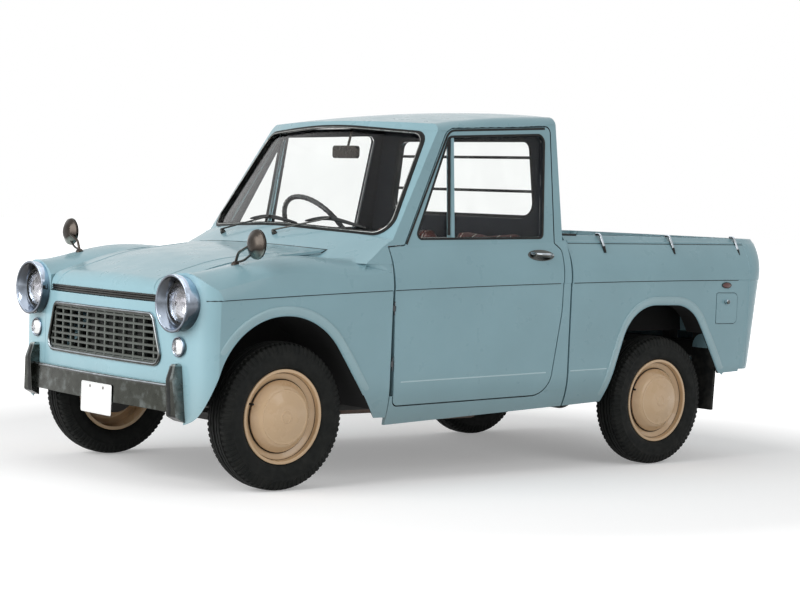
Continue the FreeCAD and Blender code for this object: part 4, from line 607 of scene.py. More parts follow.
# ---- Mesh making --------------------------------------------------------------------------------
@dataclass
class Shape:
    """Corners and faces gathered until they become one piece."""

    points: list[Vector] = field(default_factory=list)
    faces: list[tuple[int, ...]] = field(default_factory=list)

    def add(self, points: Sequence[Vector], faces: Sequence[tuple[int, ...]]) -> Shape:
        """Adds corners with faces that count from the first of them."""
        first = len(self.points)
        self.points.extend(Vector(point) for point in points)
        self.faces.extend(tuple(first + index for index in face) for face in faces)
        return self

    def grid(self, rows: Sequence[Sequence[Vector]], around: bool = False, along: bool = False,
             ends: bool = False) -> Shape:
        """Joins rows of corners into a skin.

        Args:
            rows: rows with the same number of corners.
            around: closes each row on itself.
            along: joins the last row to the first.
            ends: fills the first and last rows.

        Returns:
            This shape.
        """
        wide, deep = len(rows[0]), len(rows)
        faces = []
        for j in range(deep if along else deep - 1):
            for i in range(wide if around else wide - 1):
                k, n = (j + 1) % deep, (i + 1) % wide
                faces.append((j * wide + i, j * wide + n, k * wide + n, k * wide + i))
        if ends:
            faces.append(tuple(reversed(range(wide))))
            faces.append(tuple((deep - 1) * wide + i for i in range(wide)))
        return self.add([point for row in rows for point in row], faces)

    def lathe(self, profile: Profile, origin: Point, axis: Point, segments: int = 48,
              oval: float = 1.0, closed: bool = False) -> Shape:
        """Turns a profile round an axis.

        Args:
            profile: pairs of distance along the axis and radius.
            origin: where distance 0 is.
            axis: the direction of the axis.
            segments: corners round the axis.
            oval: how much wider the turn is across the piece than up it.
            closed: joins the profile's end to its start.

        Returns:
            This shape.
        """
        along = Vector(axis).normalized()
        up = Vector((0, 0, 1)) if abs(along.z) < 0.9 else Vector((0, 1, 0))
        across = along.cross(up).normalized()
        up = across.cross(along)
        rows = []
        for distance, radius in profile:
            centre = Vector(origin) + along * distance
            turn = [2 * math.pi * i / segments for i in range(segments)]
            rows.append([centre + (across * math.cos(a) * oval + up * math.sin(a)) * max(radius, 1e-5) for a in turn])
        return self.grid(rows, around=True, along=closed)

    def sweep(self, path: Sequence[Vector], ups: Sequence[Vector], section: Profile, loop: bool = False) -> Shape:
        """Runs a section along a path.

        Args:
            path: points along the middle of the foot of the section.
            ups: the direction that the section stands in at each point.
            section: pairs of distance across and height.
            loop: joins the path's end to its start.

        Returns:
            This shape.
        """
        rows = []
        count = len(path)
        for i, (point, up) in enumerate(zip(path, ups)):
            after = path[(i + 1) % count] if loop else path[min(i + 1, count - 1)]
            before = path[i - 1] if loop or i else path[0]
            tangent = (after - before).normalized()
            across = tangent.cross(up).normalized()
            stand = across.cross(tangent).normalized()
            rows.append([point + across * a + stand * b for a, b in section])
        return self.grid(rows, around=True, along=loop, ends=not loop)

    def tube(self, path: Sequence[Vector], radius: float, sides: int = 10, loop: bool = False) -> Shape:
        """A round tube along a path."""
        ups = []
        for i, point in enumerate(path):
            tangent = path[(i + 1) % len(path)] - point if i + 1 < len(path) or loop else point - path[i - 1]
            guess = Vector((0, 0, 1)) if abs(tangent.normalized().z) < 0.8 else Vector((0, 1, 0))
            ups.append(guess)
        section = [(radius * math.cos(2 * math.pi * i / sides), radius * math.sin(2 * math.pi * i / sides))
                   for i in range(sides)]
        return self.sweep(path, ups, section, loop)

    def slab(self, outline: Sequence[Vector], depth: Vector, edge: float = 0.0) -> Shape:
        """A flat plate with a small chamfer round its front.

        Args:
            outline: corners round the back face.
            depth: from the back face to the front.
            edge: width of the chamfer.

        Returns:
            This shape.
        """
        middle = sum(outline, Vector()) / len(outline)
        rim = [p + depth - depth.normalized() * edge for p in outline]
        front = [p + depth + (middle - p).normalized() * edge for p in outline]
        return self.grid([list(outline), rim, front], around=True, ends=True)

    def mirrored(self) -> Shape:
        """A copy on the other side of the vehicle."""
        points = [Vector((-p.x, p.y, p.z)) for p in self.points]
        return Shape(points, [tuple(reversed(face)) for face in self.faces])

    def joined(self, other: Shape) -> Shape:
        """This shape with another's corners and faces added."""
        return self.add(other.points, other.faces)

    def piece(self, name: str, body: Body, finish: Finish, slot: Slot, angle: float = 38.0,
              bevel: float = 0.0) -> bpy.types.Object:
        """Makes the finished object.

        Args:
            name: the piece's name.
            body: what it rides on.
            finish: its finish.
            slot: not used.
            angle: edges sharper than this stay sharp, in degrees.
            bevel: width of a bevel on the sharp edges.

        Returns:
            The object.
        """
        mesh = bpy.data.meshes.new(name)
        mesh.from_pydata([tuple(p) for p in self.points], [], self.faces)
        mesh.validate()
        work = bmesh.new()
        work.from_mesh(mesh)
        bmesh.ops.remove_doubles(work, verts=work.verts, dist=2e-6)
        bmesh.ops.recalc_face_normals(work, faces=work.faces)
        work.to_mesh(mesh)
        work.free()
        mesh.shade_smooth()
        mesh.set_sharp_from_angle(angle=math.radians(angle))
        thing = bpy.data.objects.new(name, mesh)
        bpy.context.scene.collection.objects.link(thing)
        if bevel:
            rounding = thing.modifiers.new("edge", "BEVEL")
            rounding.width = bevel
            rounding.segments = 2
            rounding.limit_method = "ANGLE"
        mesh.materials.append(finish.material())
        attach(thing, body.value)
        LOG.info("%s on %s: %d faces", name, body.value, len(mesh.polygons))
        return thing


def rounded_rectangle(half_wide: float, half_tall: float, radius: float, steps: int = 5) -> list[tuple[float, float]]:
    """Corners round a rectangle with rounded corners, about its middle."""
    corners = []
    for sign_x, sign_z, start in ((1, 1, 0), (-1, 1, 90), (-1, -1, 180), (1, -1, 270)):
        for i in range(steps + 1):
            angle = math.radians(start + 90 * i / steps)
            corners.append((sign_x * (half_wide - radius) + radius * math.cos(angle),
                            sign_z * (half_tall - radius) + radius * math.sin(angle)))
    return corners


def rounded_line(corners: Sequence[tuple[float, float, float]], segments: int = 8,
                 closed: bool = True) -> list[tuple[float, float]]:
    """Points along an outline with rounded corners.

    Args:
        corners: each corner's place and radius, in order.
        segments: steps in each corner's arc.
        closed: joins the last corner to the first; an open line's ends have no radius.

    Returns:
        The points, with the straight runs divided.
    """
    points: list[Vector] = []
    count = len(corners)
    for i, (x, z, radius) in enumerate(corners):
        here = Vector((x, z))
        if not closed and i in (0, count - 1):
            bend = [here]
        else:
            back = (Vector(corners[i - 1][:2]) - here).normalized()
            ahead = (Vector(corners[(i + 1) % count][:2]) - here).normalized()
            half = back.angle(ahead) / 2
            middle = here + (back + ahead).normalized() * (radius / math.sin(half))
            start = here + back * (radius / math.tan(half)) - middle
            end = here + ahead * (radius / math.tan(half)) - middle
            bend = [middle + start.slerp(end, k / segments).normalized() * radius for k in range(segments + 1)]
        if points:
            points += [points[-1].lerp(bend[0], share) for share in steps(0.05, 0.95, 15)]
        points += bend
    if closed:
        points += [points[-1].lerp(points[0], share) for share in steps(0.05, 0.95, 15)]
    return [tuple(point) for point in points]


class Skin:
    """The surface of some CAD nodes, to set trim on."""

    def __init__(self, *nodes: str) -> None:
        """Gathers the nodes' faces."""
        points: list[Vector] = []
        faces: list[tuple[int, ...]] = []
        for name in nodes:
            mesh = bpy.data.objects[name].data
            first = len(points)
            points.extend(v.co.copy() for v in mesh.vertices)
            faces.extend(tuple(first + i for i in p.vertices) for p in mesh.polygons)
        self.tree = BVHTree.FromPolygons(points, faces)

    def meet(self, start: Point, way: Point) -> tuple[Vector, Vector] | None:
        """Where a ray meets the surface, with the normal turned back at the ray; None where it misses."""
        place, normal, _, _ = self.tree.ray_cast(Vector(start), Vector(way).normalized())
        if place is None:
            return None
        return place, normal if normal.dot(Vector(way)) < 0 else -normal

    def outside(self, side: Side, y: float, z: float) -> tuple[Vector, Vector] | None:
        """The body side's outer face at a place."""
        return self.meet((side.value * 1.0, y, z), (-side.value, 0, 0))

    def front(self, x: float, z: float) -> tuple[Vector, Vector] | None:
        """The front face at a place."""
        return self.meet((x, -2.0, z), (0, 1, 0))

    def rear(self, x: float, z: float) -> tuple[Vector, Vector] | None:
        """The back face at a place."""
        return self.meet((x, 2.0, z), (0, -1, 0))

    def above(self, x: float, y: float) -> tuple[Vector, Vector] | None:
        """The top face at a place."""
        return self.meet((x, y, 2.0), (0, 0, -1))


def laid_strip(hits: Sequence[tuple[Vector, Vector] | None], width: float, height: float,
               sink: float = 0.0008) -> Shape:
    """A low rounded strip along places found on a surface."""
    found = [hit for hit in hits if hit]
    path = [place - normal * sink for place, normal in found]
    top = height + sink
    section = [(-width / 2, 0), (-width / 2, top * 0.55), (-width * 0.3, top * 0.9), (0, top),
               (width * 0.3, top * 0.9), (width / 2, top * 0.55), (width / 2, 0)]
    return Shape().sweep(path, [normal for _, normal in found], section)


def smooth_line(points: Sequence[Vector], between: int) -> list[Vector]:
    """A smooth line through points, with a number of steps between each two."""
    line = []
    count = len(points)
    for i in range(count - 1):
        before, a, b, after = points[max(i - 1, 0)], points[i], points[i + 1], points[min(i + 2, count - 1)]
        for k in range(between):
            t = k / between
            line.append(((-t + 2 * t * t - t ** 3) * before + (2 - 5 * t * t + 3 * t ** 3) * a
                         + (t + 4 * t * t - 3 * t ** 3) * b + (t ** 3 - t * t) * after) / 2)
    return line + [points[-1].copy()]


def steps(start: float, end: float, count: int) -> list[float]:
    """Evenly spaced numbers from start to end."""
    return [start + (end - start) * i / (count - 1) for i in range(count)]


def turned(count: int) -> list[float]:
    """Angles spread evenly round a full turn.

    Args:
        count: how many.

    Returns:
        The angles in radians, the first at zero.
    """
    return steps(0, 2 * math.pi * (count - 1) / count, count)


# ---- Wheels -------------------------------------------------------------------------------------
@dataclass
class RoadWheel:
    """One tyre with its tread, and the small parts on the wheel in it."""

    body: Body
    side: Side
    axle_y: float
    centre_x: float = 0.557
    centre_z: float = AXLE_Z
    lugs: int = 78
    lug_depth: float = 0.0042
    groove_depth: float = 0.005
    tread: tuple[tuple[float, float, float, float], ...] = (
        (0.0447, 0.1640, 0, 0), (0.0450, 0.1715, 0, 0), (0.0490, 0.1750, 0, 0), (0.0545, 0.1800, 0, 0),
        (0.0552, 0.1835, 0, 0), (0.0578, 0.1870, 0, 0), (0.0592, 0.1960, 0, 0), (0.0599, 0.2080, 0, 0),
        (0.0599, 0.2180, 0, 0), (0.0592, 0.2260, 0, 0), (0.0598, 0.2275, 0, 0), (0.0592, 0.2300, 0, 0),
        (0.0588, 0.2320, 0.5, 0), (0.0572, 0.2390, 1, 0), (0.0545, 0.2480, 1, 0), (0.0520, 0.2550, 1, 0),
        (0.0490, 0.2600, 1, 0), (0.0430, 0.2625, 1, 0), (0.0360, 0.2648, 1, 0), (0.0345, 0.2650, 0, 0),
        (0.0335, 0.2652, 0, 1), (0.0305, 0.2657, 0, 1), (0.0295, 0.2659, 0, 0), (0.0200, 0.2669, 0, 0),
        (0.0190, 0.2669, 0, 1), (0.0162, 0.2669, 0, 1), (0.0152, 0.2670, 0, 0), (0.0050, 0.2670, 0, 0),
        (0.0040, 0.2670, 0, 1), (0.0012, 0.2670, 0, 1), (0.0002, 0.2670, 0, 0),
    )

    def axis(self) -> Point:
        """Outwards along the axle."""
        return (self.side.value, 0, 0)

    def centre(self) -> Point:
        """The middle of the wheel."""
        return (self.side.value * self.centre_x, self.axle_y, self.centre_z)

    def tyre(self) -> bpy.types.Object:
        """The tyre, cut with shoulder lugs and wandering grooves."""
        half = list(self.tread)
        rows = half + [(-a, r, lug, groove) for a, r, lug, groove in reversed(half)]
        origin = Vector(self.centre())
        out = Vector(self.axis())
        turns = []
        for lug in range(self.lugs):
            turns += [((lug + part) / self.lugs, cut) for part, cut in ((0, 0), (0.47, 0), (0.55, 1), (0.92, 1))]
        skin = []
        for turn, cut in turns:
            angle = 2 * math.pi * turn
            zig = 0.0011 * (abs((turn * self.lugs) % 2 - 1) * 2 - 1)
            radial = Vector((0, math.cos(angle), math.sin(angle)))
            row = []
            for a, r, lug, groove in rows:
                depth = self.lug_depth * lug * cut + self.groove_depth * groove
                sway = zig if abs(a) < 0.034 and r > 0.262 else 0.0
                inward = depth * 0.35 if r < 0.258 else 0.0
                row.append(origin + out * (a - math.copysign(inward, a) + sway)
                           + radial * (r - depth * (0.6 if r < 0.258 else 1)))
            skin.append(row)
        tyre = Shape().grid(skin, around=True, along=True).piece(
            self.body.value.replace("wheel", "tread"), self.body, TYRE, Slot.TYRE, angle=28)
        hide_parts(self.body.value.replace("wheel", "tyre"))
        return tyre

    def face_at(self, radius: float) -> float:
        """How far out along the axle the wheel's face is, at a radius."""
        skin = Skin(self.body.value)
        hit = skin.outside(self.side, self.axle_y + radius, self.centre_z)
        return abs(hit[0].x) - self.centre_x if hit else 0.05

    def cap_lines(self) -> bpy.types.Object:
        """A dark ring standing for the gap round the hub cap and the painted shade in it, a thin dark ring on the rim,
        the raised rings on the cap and its plain boss.
        """
        cap_gap_radius, rim_radius, ring_radius = 0.1322, 0.1560, 0.0960
        ring = Shape()
        # Painted shade: a black ring in the gap round the hub cap; a thin black ring on the rim's face.
        for radius, thick in ((cap_gap_radius, 0.0017), (rim_radius, 0.0010)):
            out = 0.0245 if radius == cap_gap_radius else self.face_at(radius)
            ring.lathe([(out + thick * math.cos(t), radius + thick * math.sin(t))
                        for t in turned(8)], self.centre(), self.axis(), 72, closed=True)
        ring.piece(self.body.value.replace("wheel", "cap_gap_shade"), self.body, SEAL, Slot.RUBBER)
        relief = Shape()
        for radius, width, rise in ((ring_radius, 0.0050, 0.0012), (0.0200, 0.0030, 0.0016)):
            out = self.face_at(radius)
            inner, outer = self.face_at(radius - width), self.face_at(radius + width)
            relief.lathe([(outer - 0.0005, radius + width), (out + rise * 0.8, radius + width * 0.4),
                          (out + rise, radius),
                          (out + rise * 0.8, radius - width * 0.4), (inner - 0.0005, radius - width)],
                         self.centre(), self.axis(), 72)
        return relief.piece(self.body.value.replace("wheel", "cap_relief"), self.body, WHEEL_ENAMEL, Slot.WHEEL)

    def valve(self) -> bpy.types.Object:
        """The rubber valve stem with its cap, standing out of the dish."""
        angle = math.radians(160)
        y = self.axle_y + 0.1430 * math.cos(angle)
        z = self.centre_z + 0.1430 * math.sin(angle)
        stem = Shape().lathe([(0.0100, 0.0058), (0.0200, 0.0055), (0.0240, 0.0042), (0.0440, 0.0036), (0.0445, 0.0044),
                              (0.0500, 0.0044), (0.0515, 0.0034), (0.0515, 0.0001)],
                             (self.side.value * self.centre_x, y, z), self.axis(), 14)
        return stem.piece(self.body.value.replace("wheel", "valve"), self.body, SEAL, Slot.RUBBER)

    def build(self) -> None:
        """Makes every piece of this wheel."""
        self.tyre()
        self.cap_lines()
        self.valve()


# ---- Front end ----------------------------------------------------------------------------------
@dataclass
class FrontTrim:
    """Trim on the nose: lamp insides, grille and nose bars, bonnet swages, wipers, plate and overrider rubbers."""

    lamp: Point = (0.494, -1.495, 0.665)
    indicator: Point = (0.491, -1.452, 0.513)
    bar_z: float = 0.676
    bar_half: float = 0.382
    bar_height: float = 0.024
    plate_middle: tuple[float, float] = (0.019, 0.289)
    plate_half: tuple[float, float] = (0.105, 0.0565)
    plate_y: float = -1.4920
    rubber_x: float = 0.487
    rubber_ends: tuple[float, float] = (0.262, 0.450)
    grille_half: float = 0.405
    top_half: float = 0.345
    grille_ends: tuple[float, float] = (0.434, 0.624)
    grille_rows: int = 8
    grille_columns: int = 13
    wiper_pivots: tuple[Point, Point] = ((-0.300, -0.734, 0.903), (0.071, -0.752, 0.912))
    wiper_runs: tuple[tuple[tuple[float, float], ...], ...] = (
        ((-0.215, 0.960), (-0.075, 0.971), (0.110, 0.953)), ((0.155, 0.962), (0.280, 0.975), (0.466, 0.945)))
    level_bar: float = 0.0098
    upright_bar: float = 0.0075
    _forward: Point = (0, 1, 0)

    def lamp_insides(self) -> None:
        """A stepped liner inside each hood, then the lens's black seal, its bright bowl, and a bulb with its cap."""
        liner = Shape().lathe([(0.0035, 0.0932), (0.0060, 0.0905), (0.0150, 0.0836), (0.0240, 0.0782), (0.0300, 0.0752),
                               (0.0330, 0.0745), (0.0345, 0.0728), (0.0330, 0.0716)], self.lamp, self._forward, 64)
        liner.joined(liner.mirrored()).piece("lamp_liners", Body.SHELL, HOOD_PLATING, Slot.BRIGHT)
        bowl = Shape().lathe([(0.053, 0.0815), (0.070, 0.0750), (0.088, 0.0620), (0.102, 0.0450), (0.112, 0.0260),
                              (0.117, 0.0120), (0.1172, 0.0001)], self.lamp, self._forward, 56)
        bowl.joined(bowl.mirrored()).piece("lamp_bowls", Body.SHELL, BOWL_PLATING, Slot.BRIGHT)
        bulb = Shape().lathe([(0.116, 0.0110), (0.100, 0.0110), (0.099, 0.0085), (0.084, 0.0085), (0.078, 0.0065),
                              (0.075, 0.0001)], self.lamp, self._forward, 24)
        shield = Shape().lathe([(0.070, 0.0001), (0.069, 0.0100), (0.074, 0.0155), (0.076, 0.0150), (0.072, 0.0095),
                                (0.073, 0.0001)], self.lamp, self._forward, 28)
        bulb.joined(shield)
        bulb.joined(bulb.mirrored()).piece("lamp_bulbs", Body.SHELL, BOWL_PLATING, Slot.BRIGHT)
        seal = Shape().lathe([(0.0345 + 0.0024 * math.cos(t), 0.0712 + 0.0032 * math.sin(t))
                              for t in turned(10)], self.lamp, self._forward, 64, closed=True)
        seal.joined(seal.mirrored()).piece("lamp_seals", Body.SHELL, SEAL, Slot.RUBBER)

    def indicator_insides(self) -> None:
        """Faceted reflectors behind the round lenses, and the rubber that each ring sits on."""
        rows = []
        for ring, (depth, radius) in enumerate(((0.0065, 0.0262), (0.0085, 0.0225), (0.0070, 0.0188), (0.0095, 0.0150),
                                                (0.0080, 0.0112), (0.0105, 0.0075), (0.0110, 0.0010))):
            row = []
            for i in range(32):
                angle = 2 * math.pi * (i + 0.5 * (ring % 2)) / 32
                ripple = 0.0012 * (i % 2)
                row.append(Vector((self.indicator[0] + radius * math.cos(angle), self.indicator[1] + depth + ripple,
                                   self.indicator[2] + radius * math.sin(angle))))
            rows.append(row)
        facets = Shape().grid(rows, around=True)
        facets.joined(facets.mirrored()).piece("indicator_facets", Body.SHELL, BOWL_PLATING, Slot.BRIGHT, angle=8)
        seal = Shape().lathe([(0.0085 + 0.0035 * math.cos(t), 0.0372 + 0.0024 * math.sin(t))
                              for t in turned(10)], self.indicator, self._forward, 48, closed=True)
        seal.joined(seal.mirrored()).piece("indicator_seals", Body.SHELL, SEAL, Slot.RUBBER)

    def grille_bars(self) -> None:
        """Rounded faces on the grille's bars, broad on the level ones and narrow on the upright ones."""
        skin = Skin("grille")
        low, high = self.grille_ends
        bars = Shape()
        for j in range(1, self.grille_rows):
            z = low + (high - low) * j / self.grille_rows
            hits = [skin.front(x, z) for x in steps(-self.grille_half, self.grille_half, 81)]
            bars.joined(self.bar_face([hit for hit in hits if hit], self.level_bar, 0.0040))
        for i in range(1, self.grille_columns):
            x = self.grille_half * (2 * i / self.grille_columns - 1)
            hits = [skin.front(x, z) for z in steps(low + 0.014, high - 0.014, 21)]
            bars.joined(self.bar_face([hit for hit in hits if hit], self.upright_bar, 0.0030))
        bars.piece("grille_bars", Body.SHELL, GRILLE_METAL, Slot.DARK_METAL, angle=50)

    def bar_face(self, hits: Sequence[tuple[Vector, Vector]], width: float, depth: float) -> Shape:
        """One rounded bar face along places on the grille's front.

        Args:
            hits: places on the grille with their normals.
            width: how broad the face is.
            depth: how far it stands ahead of the grille.

        Returns:
            The bar's shape.
        """
        front = Vector((0, -1, 0))
        half = width / 2
        section = [(-half, -0.006), (-half, depth * 0.4), (-half * 0.7, depth * 0.85), (0, depth),
                   (half * 0.7, depth * 0.85), (half, depth * 0.4), (half, -0.006)]
        return Shape().sweep([place for place, _ in hits], [front] * len(hits), section)

    def surround_bead(self) -> None:
        """The rolled bright edge that runs round the grille's surround."""
        skin = Skin("grille_surround", "nose_panel")
        low, high = self.grille_ends
        corners = [(self.grille_half - 0.007, low + 0.0065, 0.037), (self.top_half - 0.0065, high - 0.0065, 0.031)]
        corners += [(-x, z, r) for x, z, r in reversed(corners)]
        path = []
        for x, z in rounded_line(corners):
            hit = skin.front(x, z)
            if hit:
                path.append(hit[0] + Vector((0, 0.0012, 0)))
        bead = Shape().tube(path, 0.0046, 10, loop=True)
        bead.piece("grille_bead", Body.SHELL, CHROME, Slot.BRIGHT, angle=70)

    def nose_bar(self) -> None:
        """The ribbed bar across the nose, with stepped ends that run in under the lamp hoods."""
        skin = Skin("nose_panel", "bonnet", "front_fenders")
        hits = [skin.front(x, self.bar_z) for x in steps(-self.bar_half, self.bar_half, 41)]
        found = [(p, Vector((n.x, n.y, 0)).normalized()) for p, n in filter(None, hits)]
        path = [p + n * -0.001 for p, n in found]
        ups = [n for _, n in found]
        half = self.bar_height / 2
        wide = self.bar_height / 3
        section: list[tuple[float, float]] = [(-half, 0.0)]
        for rib in range(3):
            low = -half + rib * wide
            section += [(low, 0.0016), (low + wide * 0.2, 0.0044), (low + wide * 0.5, 0.0054),
                        (low + wide * 0.8, 0.0044)]
        section += [(half, 0.0016), (half, 0.0)]
        bar = Shape().sweep(path, ups, section)
        bar.piece("nose_bar", Body.SHELL, DARK_CHROME, Slot.BRIGHT, angle=50)
        nubs = Shape()
        for index, away in ((0, -1), (len(path) - 1, 1)):
            for length, radius in ((0.012, 0.0075), (0.024, 0.0055)):
                start = path[index] + ups[index] * 0.001
                nubs.lathe([(0, 0.0001), (0, radius), (length - 0.002, radius), (length, radius - 0.002),
                            (length, 0.0001)],
                           tuple(start), (away, 0.10, 0), 18)
        nubs.piece("nose_bar_ends", Body.SHELL, DARK_CHROME, Slot.BRIGHT)

    def bumper_bead(self) -> None:
        """The bright rolled bead along the top of the bumper."""
        front = -1.490
        path = [Vector((x, front + 0.0028 + x * x / 10.0, 0.3735)) for x in steps(-0.462, 0.462, 45)]
        Shape().tube(path, 0.0068, 14).piece("bumper_bead", Body.SHELL, CHROME, Slot.BRIGHT)

    def bonnet_swages(self) -> None:
        """The pressed line up each side of the bonnet's raised middle, with the shadow under it."""
        skin = Skin("bonnet")
        curve = [Vector((x, y, 0)) for x, y in
                 ((0.356, -1.4700), (0.322, -1.452), (0.300, -1.40), (0.300, -1.28), (0.318, -1.14), (0.345, -0.99),
                  (0.372, -0.86))]
        crest, shadow = [], []
        for point in smooth_line(curve, 10):
            for row, shift in ((crest, 0.0), (shadow, 0.0062)):
                hit = skin.above(point.x + shift, point.y) if point.y > -1.44 else skin.front(point.x + shift,
                                                                                              self.brow(point))
                row.append(hit)
        line = laid_strip(crest, 0.011, 0.0018)
        line.joined(line.mirrored()).piece("bonnet_swages", Body.BONNET, TRIM_ENAMEL, Slot.BODY, angle=60)
        dark = laid_strip(shadow, 0.0024, 0.0003, sink=0.0004)
        dark.joined(dark.mirrored()).piece("bonnet_swage_shadows", Body.BONNET, SWAGE_SHADOW, Slot.BODY)

    def brow(self, point: Vector) -> float:
        """How high the swage is on the bonnet's rounded front edge, where it turns from upright to level."""
        return 0.686 + max(0.0, point.y + 1.470) * 1.5

    def landing(self) -> None:
        """The flange on each fender that the bonnet's edge lies above, which closes the view into the engine bay."""
        skin = Skin("front_fenders")
        lid = Skin("bonnet")
        rows = []
        for y in steps(-1.10, -0.735, 30):
            edge = None
            for x in steps(0.43, 0.30, 66):
                if lid.above(x, y):
                    edge = x
                    break
            low = skin.above((edge or 0.40) + 0.012, y)
            if edge is None or low is None:
                continue
            top = lid.above(edge - 0.010, y)[0].z - 0.0125
            x = edge - 0.004
            rows.append([Vector((x + 0.016, y, min(low[0].z, top) - 0.004)),
                         Vector((x + 0.004, y, min(low[0].z, top) - 0.001)),
                         Vector((x, y, top)), Vector((x - 0.024, y, top)), Vector((x - 0.024, y, top - 0.0015)),
                         Vector((x - 0.002, y, top - 0.0015)), Vector((x + 0.002, y, min(low[0].z, top) - 0.004))])
        wall = Shape().grid(rows, around=True, ends=True)
        wall.joined(wall.mirrored()).piece("bonnet_landings", Body.SHELL, TRIM_ENAMEL, Slot.BODY, angle=60)

    def wipers(self) -> None:
        """Two wipers parked along the foot of the glass: leaf-shaped blades on bent arms, from domed spindles."""
        skin = Skin("cab_glass", "window_seals", "windscreen_frame")
        arms, blades = Shape(), Shape()
        for pivot, run in zip(self.wiper_pivots, self.wiper_runs):
            curve = smooth_line([Vector((x, 0, z)) for x, z in run], 12)
            path = []
            for point in curve:
                hit = skin.front(point.x, point.z)
                path.append(hit[0] + Vector((0, -0.011, 0.001)))
            rows = []
            for i, place in enumerate(path):
                share = i / (len(path) - 1)
                tall = 0.0028 + 0.0052 * math.sin(math.pi * share) ** 0.8
                rows.append([place + Vector((0, -0.0035 * a, tall * b)) for a, b in
                             ((-1, -1), (0.4, -1), (1, -0.3), (0.8, 0.5), (0.2, 1), (-1, 0.8))])
            blades.grid(rows, around=True, ends=True)
            foot = Vector(pivot)
            heel = path[len(path) // 2] + Vector((0, -0.006, 0.002))
            elbow = foot.lerp(heel, 0.45) + Vector((0, -0.012, 0.004))
            arms.tube(smooth_line([foot + Vector((0, -0.010, 0.010)), elbow, heel], 8), 0.0034, 10)
            arms.lathe([(-0.012, 0.0105), (0.002, 0.0105), (0.006, 0.0085), (0.011, 0.0075), (0.014, 0.0045),
                        (0.0145, 0.0001)],
                       pivot, (0, -0.55, 0.83), 20)
            arms.lathe([(-0.006, 0.0046), (0.004, 0.0042), (0.0046, 0.0001)], tuple(heel), (0, -1, 0), 12)
        blade = blades.piece("wiper_blades", Body.SHELL, WIPER_METAL, Slot.RUBBER, angle=30)
        arm = arms.piece("wiper_arms", Body.SHELL, DARK_CHROME, Slot.BRIGHT)
        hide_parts("wipers")
        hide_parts("wipers")

    def plate(self) -> None:
        """A bare white plate with a pressed rim, on two bolts, with its black carrier behind."""
        x, z = self.plate_middle
        outline = [Vector((x + a, self.plate_y, z + b)) for a, b in
                   rounded_rectangle(self.plate_half[0], self.plate_half[1], 0.008)]
        Shape().slab(outline, Vector((0, -0.0012, 0)), 0.0005).piece("front_plate", Body.SHELL, PLATE_ENAMEL, Slot.BODY)
        rim = [Vector((x + a, self.plate_y - 0.0010, z + b)) for a, b in
               rounded_rectangle(self.plate_half[0] - 0.004, self.plate_half[1] - 0.004, 0.006)]
        lip = Shape().tube(rim, 0.0011, 6, loop=True)
        lip.piece("front_plate_rim", Body.SHELL, PLATE_ENAMEL, Slot.BODY)
        bolts = Shape()
        for offset in (-0.043, 0.047):
            bolts.lathe([(-0.0008, 0.0062), (0.0006, 0.0060), (0.0007, 0.0042), (0.0022, 0.0040), (0.0026, 0.0030),
                         (0.0026, 0.0001)], (x + offset, self.plate_y - 0.0012, z + 0.041), (0, -1, 0), 6)
        bolts.piece("front_plate_bolts", Body.SHELL, STEEL, Slot.DARK_METAL, angle=20)

    def overrider_rubbers(self) -> None:
        """A rounded rubber strip down the face of each overrider."""
        skin = Skin("front_bumper")
        hits = [skin.front(self.rubber_x, z) for z in steps(*self.rubber_ends, 22)]
        found = [hit for hit in hits if hit]
        rows = []
        for i, (place, _) in enumerate(found):
            share = i / (len(found) - 1)
            width = (0.0135 - 0.0035 * share) * min(1.0, 0.35 + 5 * min(share, 1 - share)) ** 0.5
            tall = 0.0030 * min(1.0, 0.2 + 6 * min(share, 1 - share)) ** 0.5
            rows.append([place + Vector((width * a, -tall * b + 0.001, 0)) for a, b in
                         ((-1, -0.3), (-0.98, 0.3), (-0.8, 0.75), (-0.4, 0.97), (0, 1), (0.4, 0.97), (0.8, 0.75),
                          (0.98, 0.3), (1, -0.3))])
        strip = Shape().grid(rows, around=True, ends=True)
        strip.joined(strip.mirrored()).piece("overrider_rubbers", Body.SHELL, SEAL, Slot.RUBBER)

    def build(self) -> None:
        """Makes every piece of the front."""
        self.lamp_insides()
        self.indicator_insides()
        self.grille_bars()
        self.surround_bead()
        self.nose_bar()
        self.bumper_bead()
        self.bonnet_swages()
        self.landing()
        self.wipers()
        self.plate()
        self.overrider_rubbers()


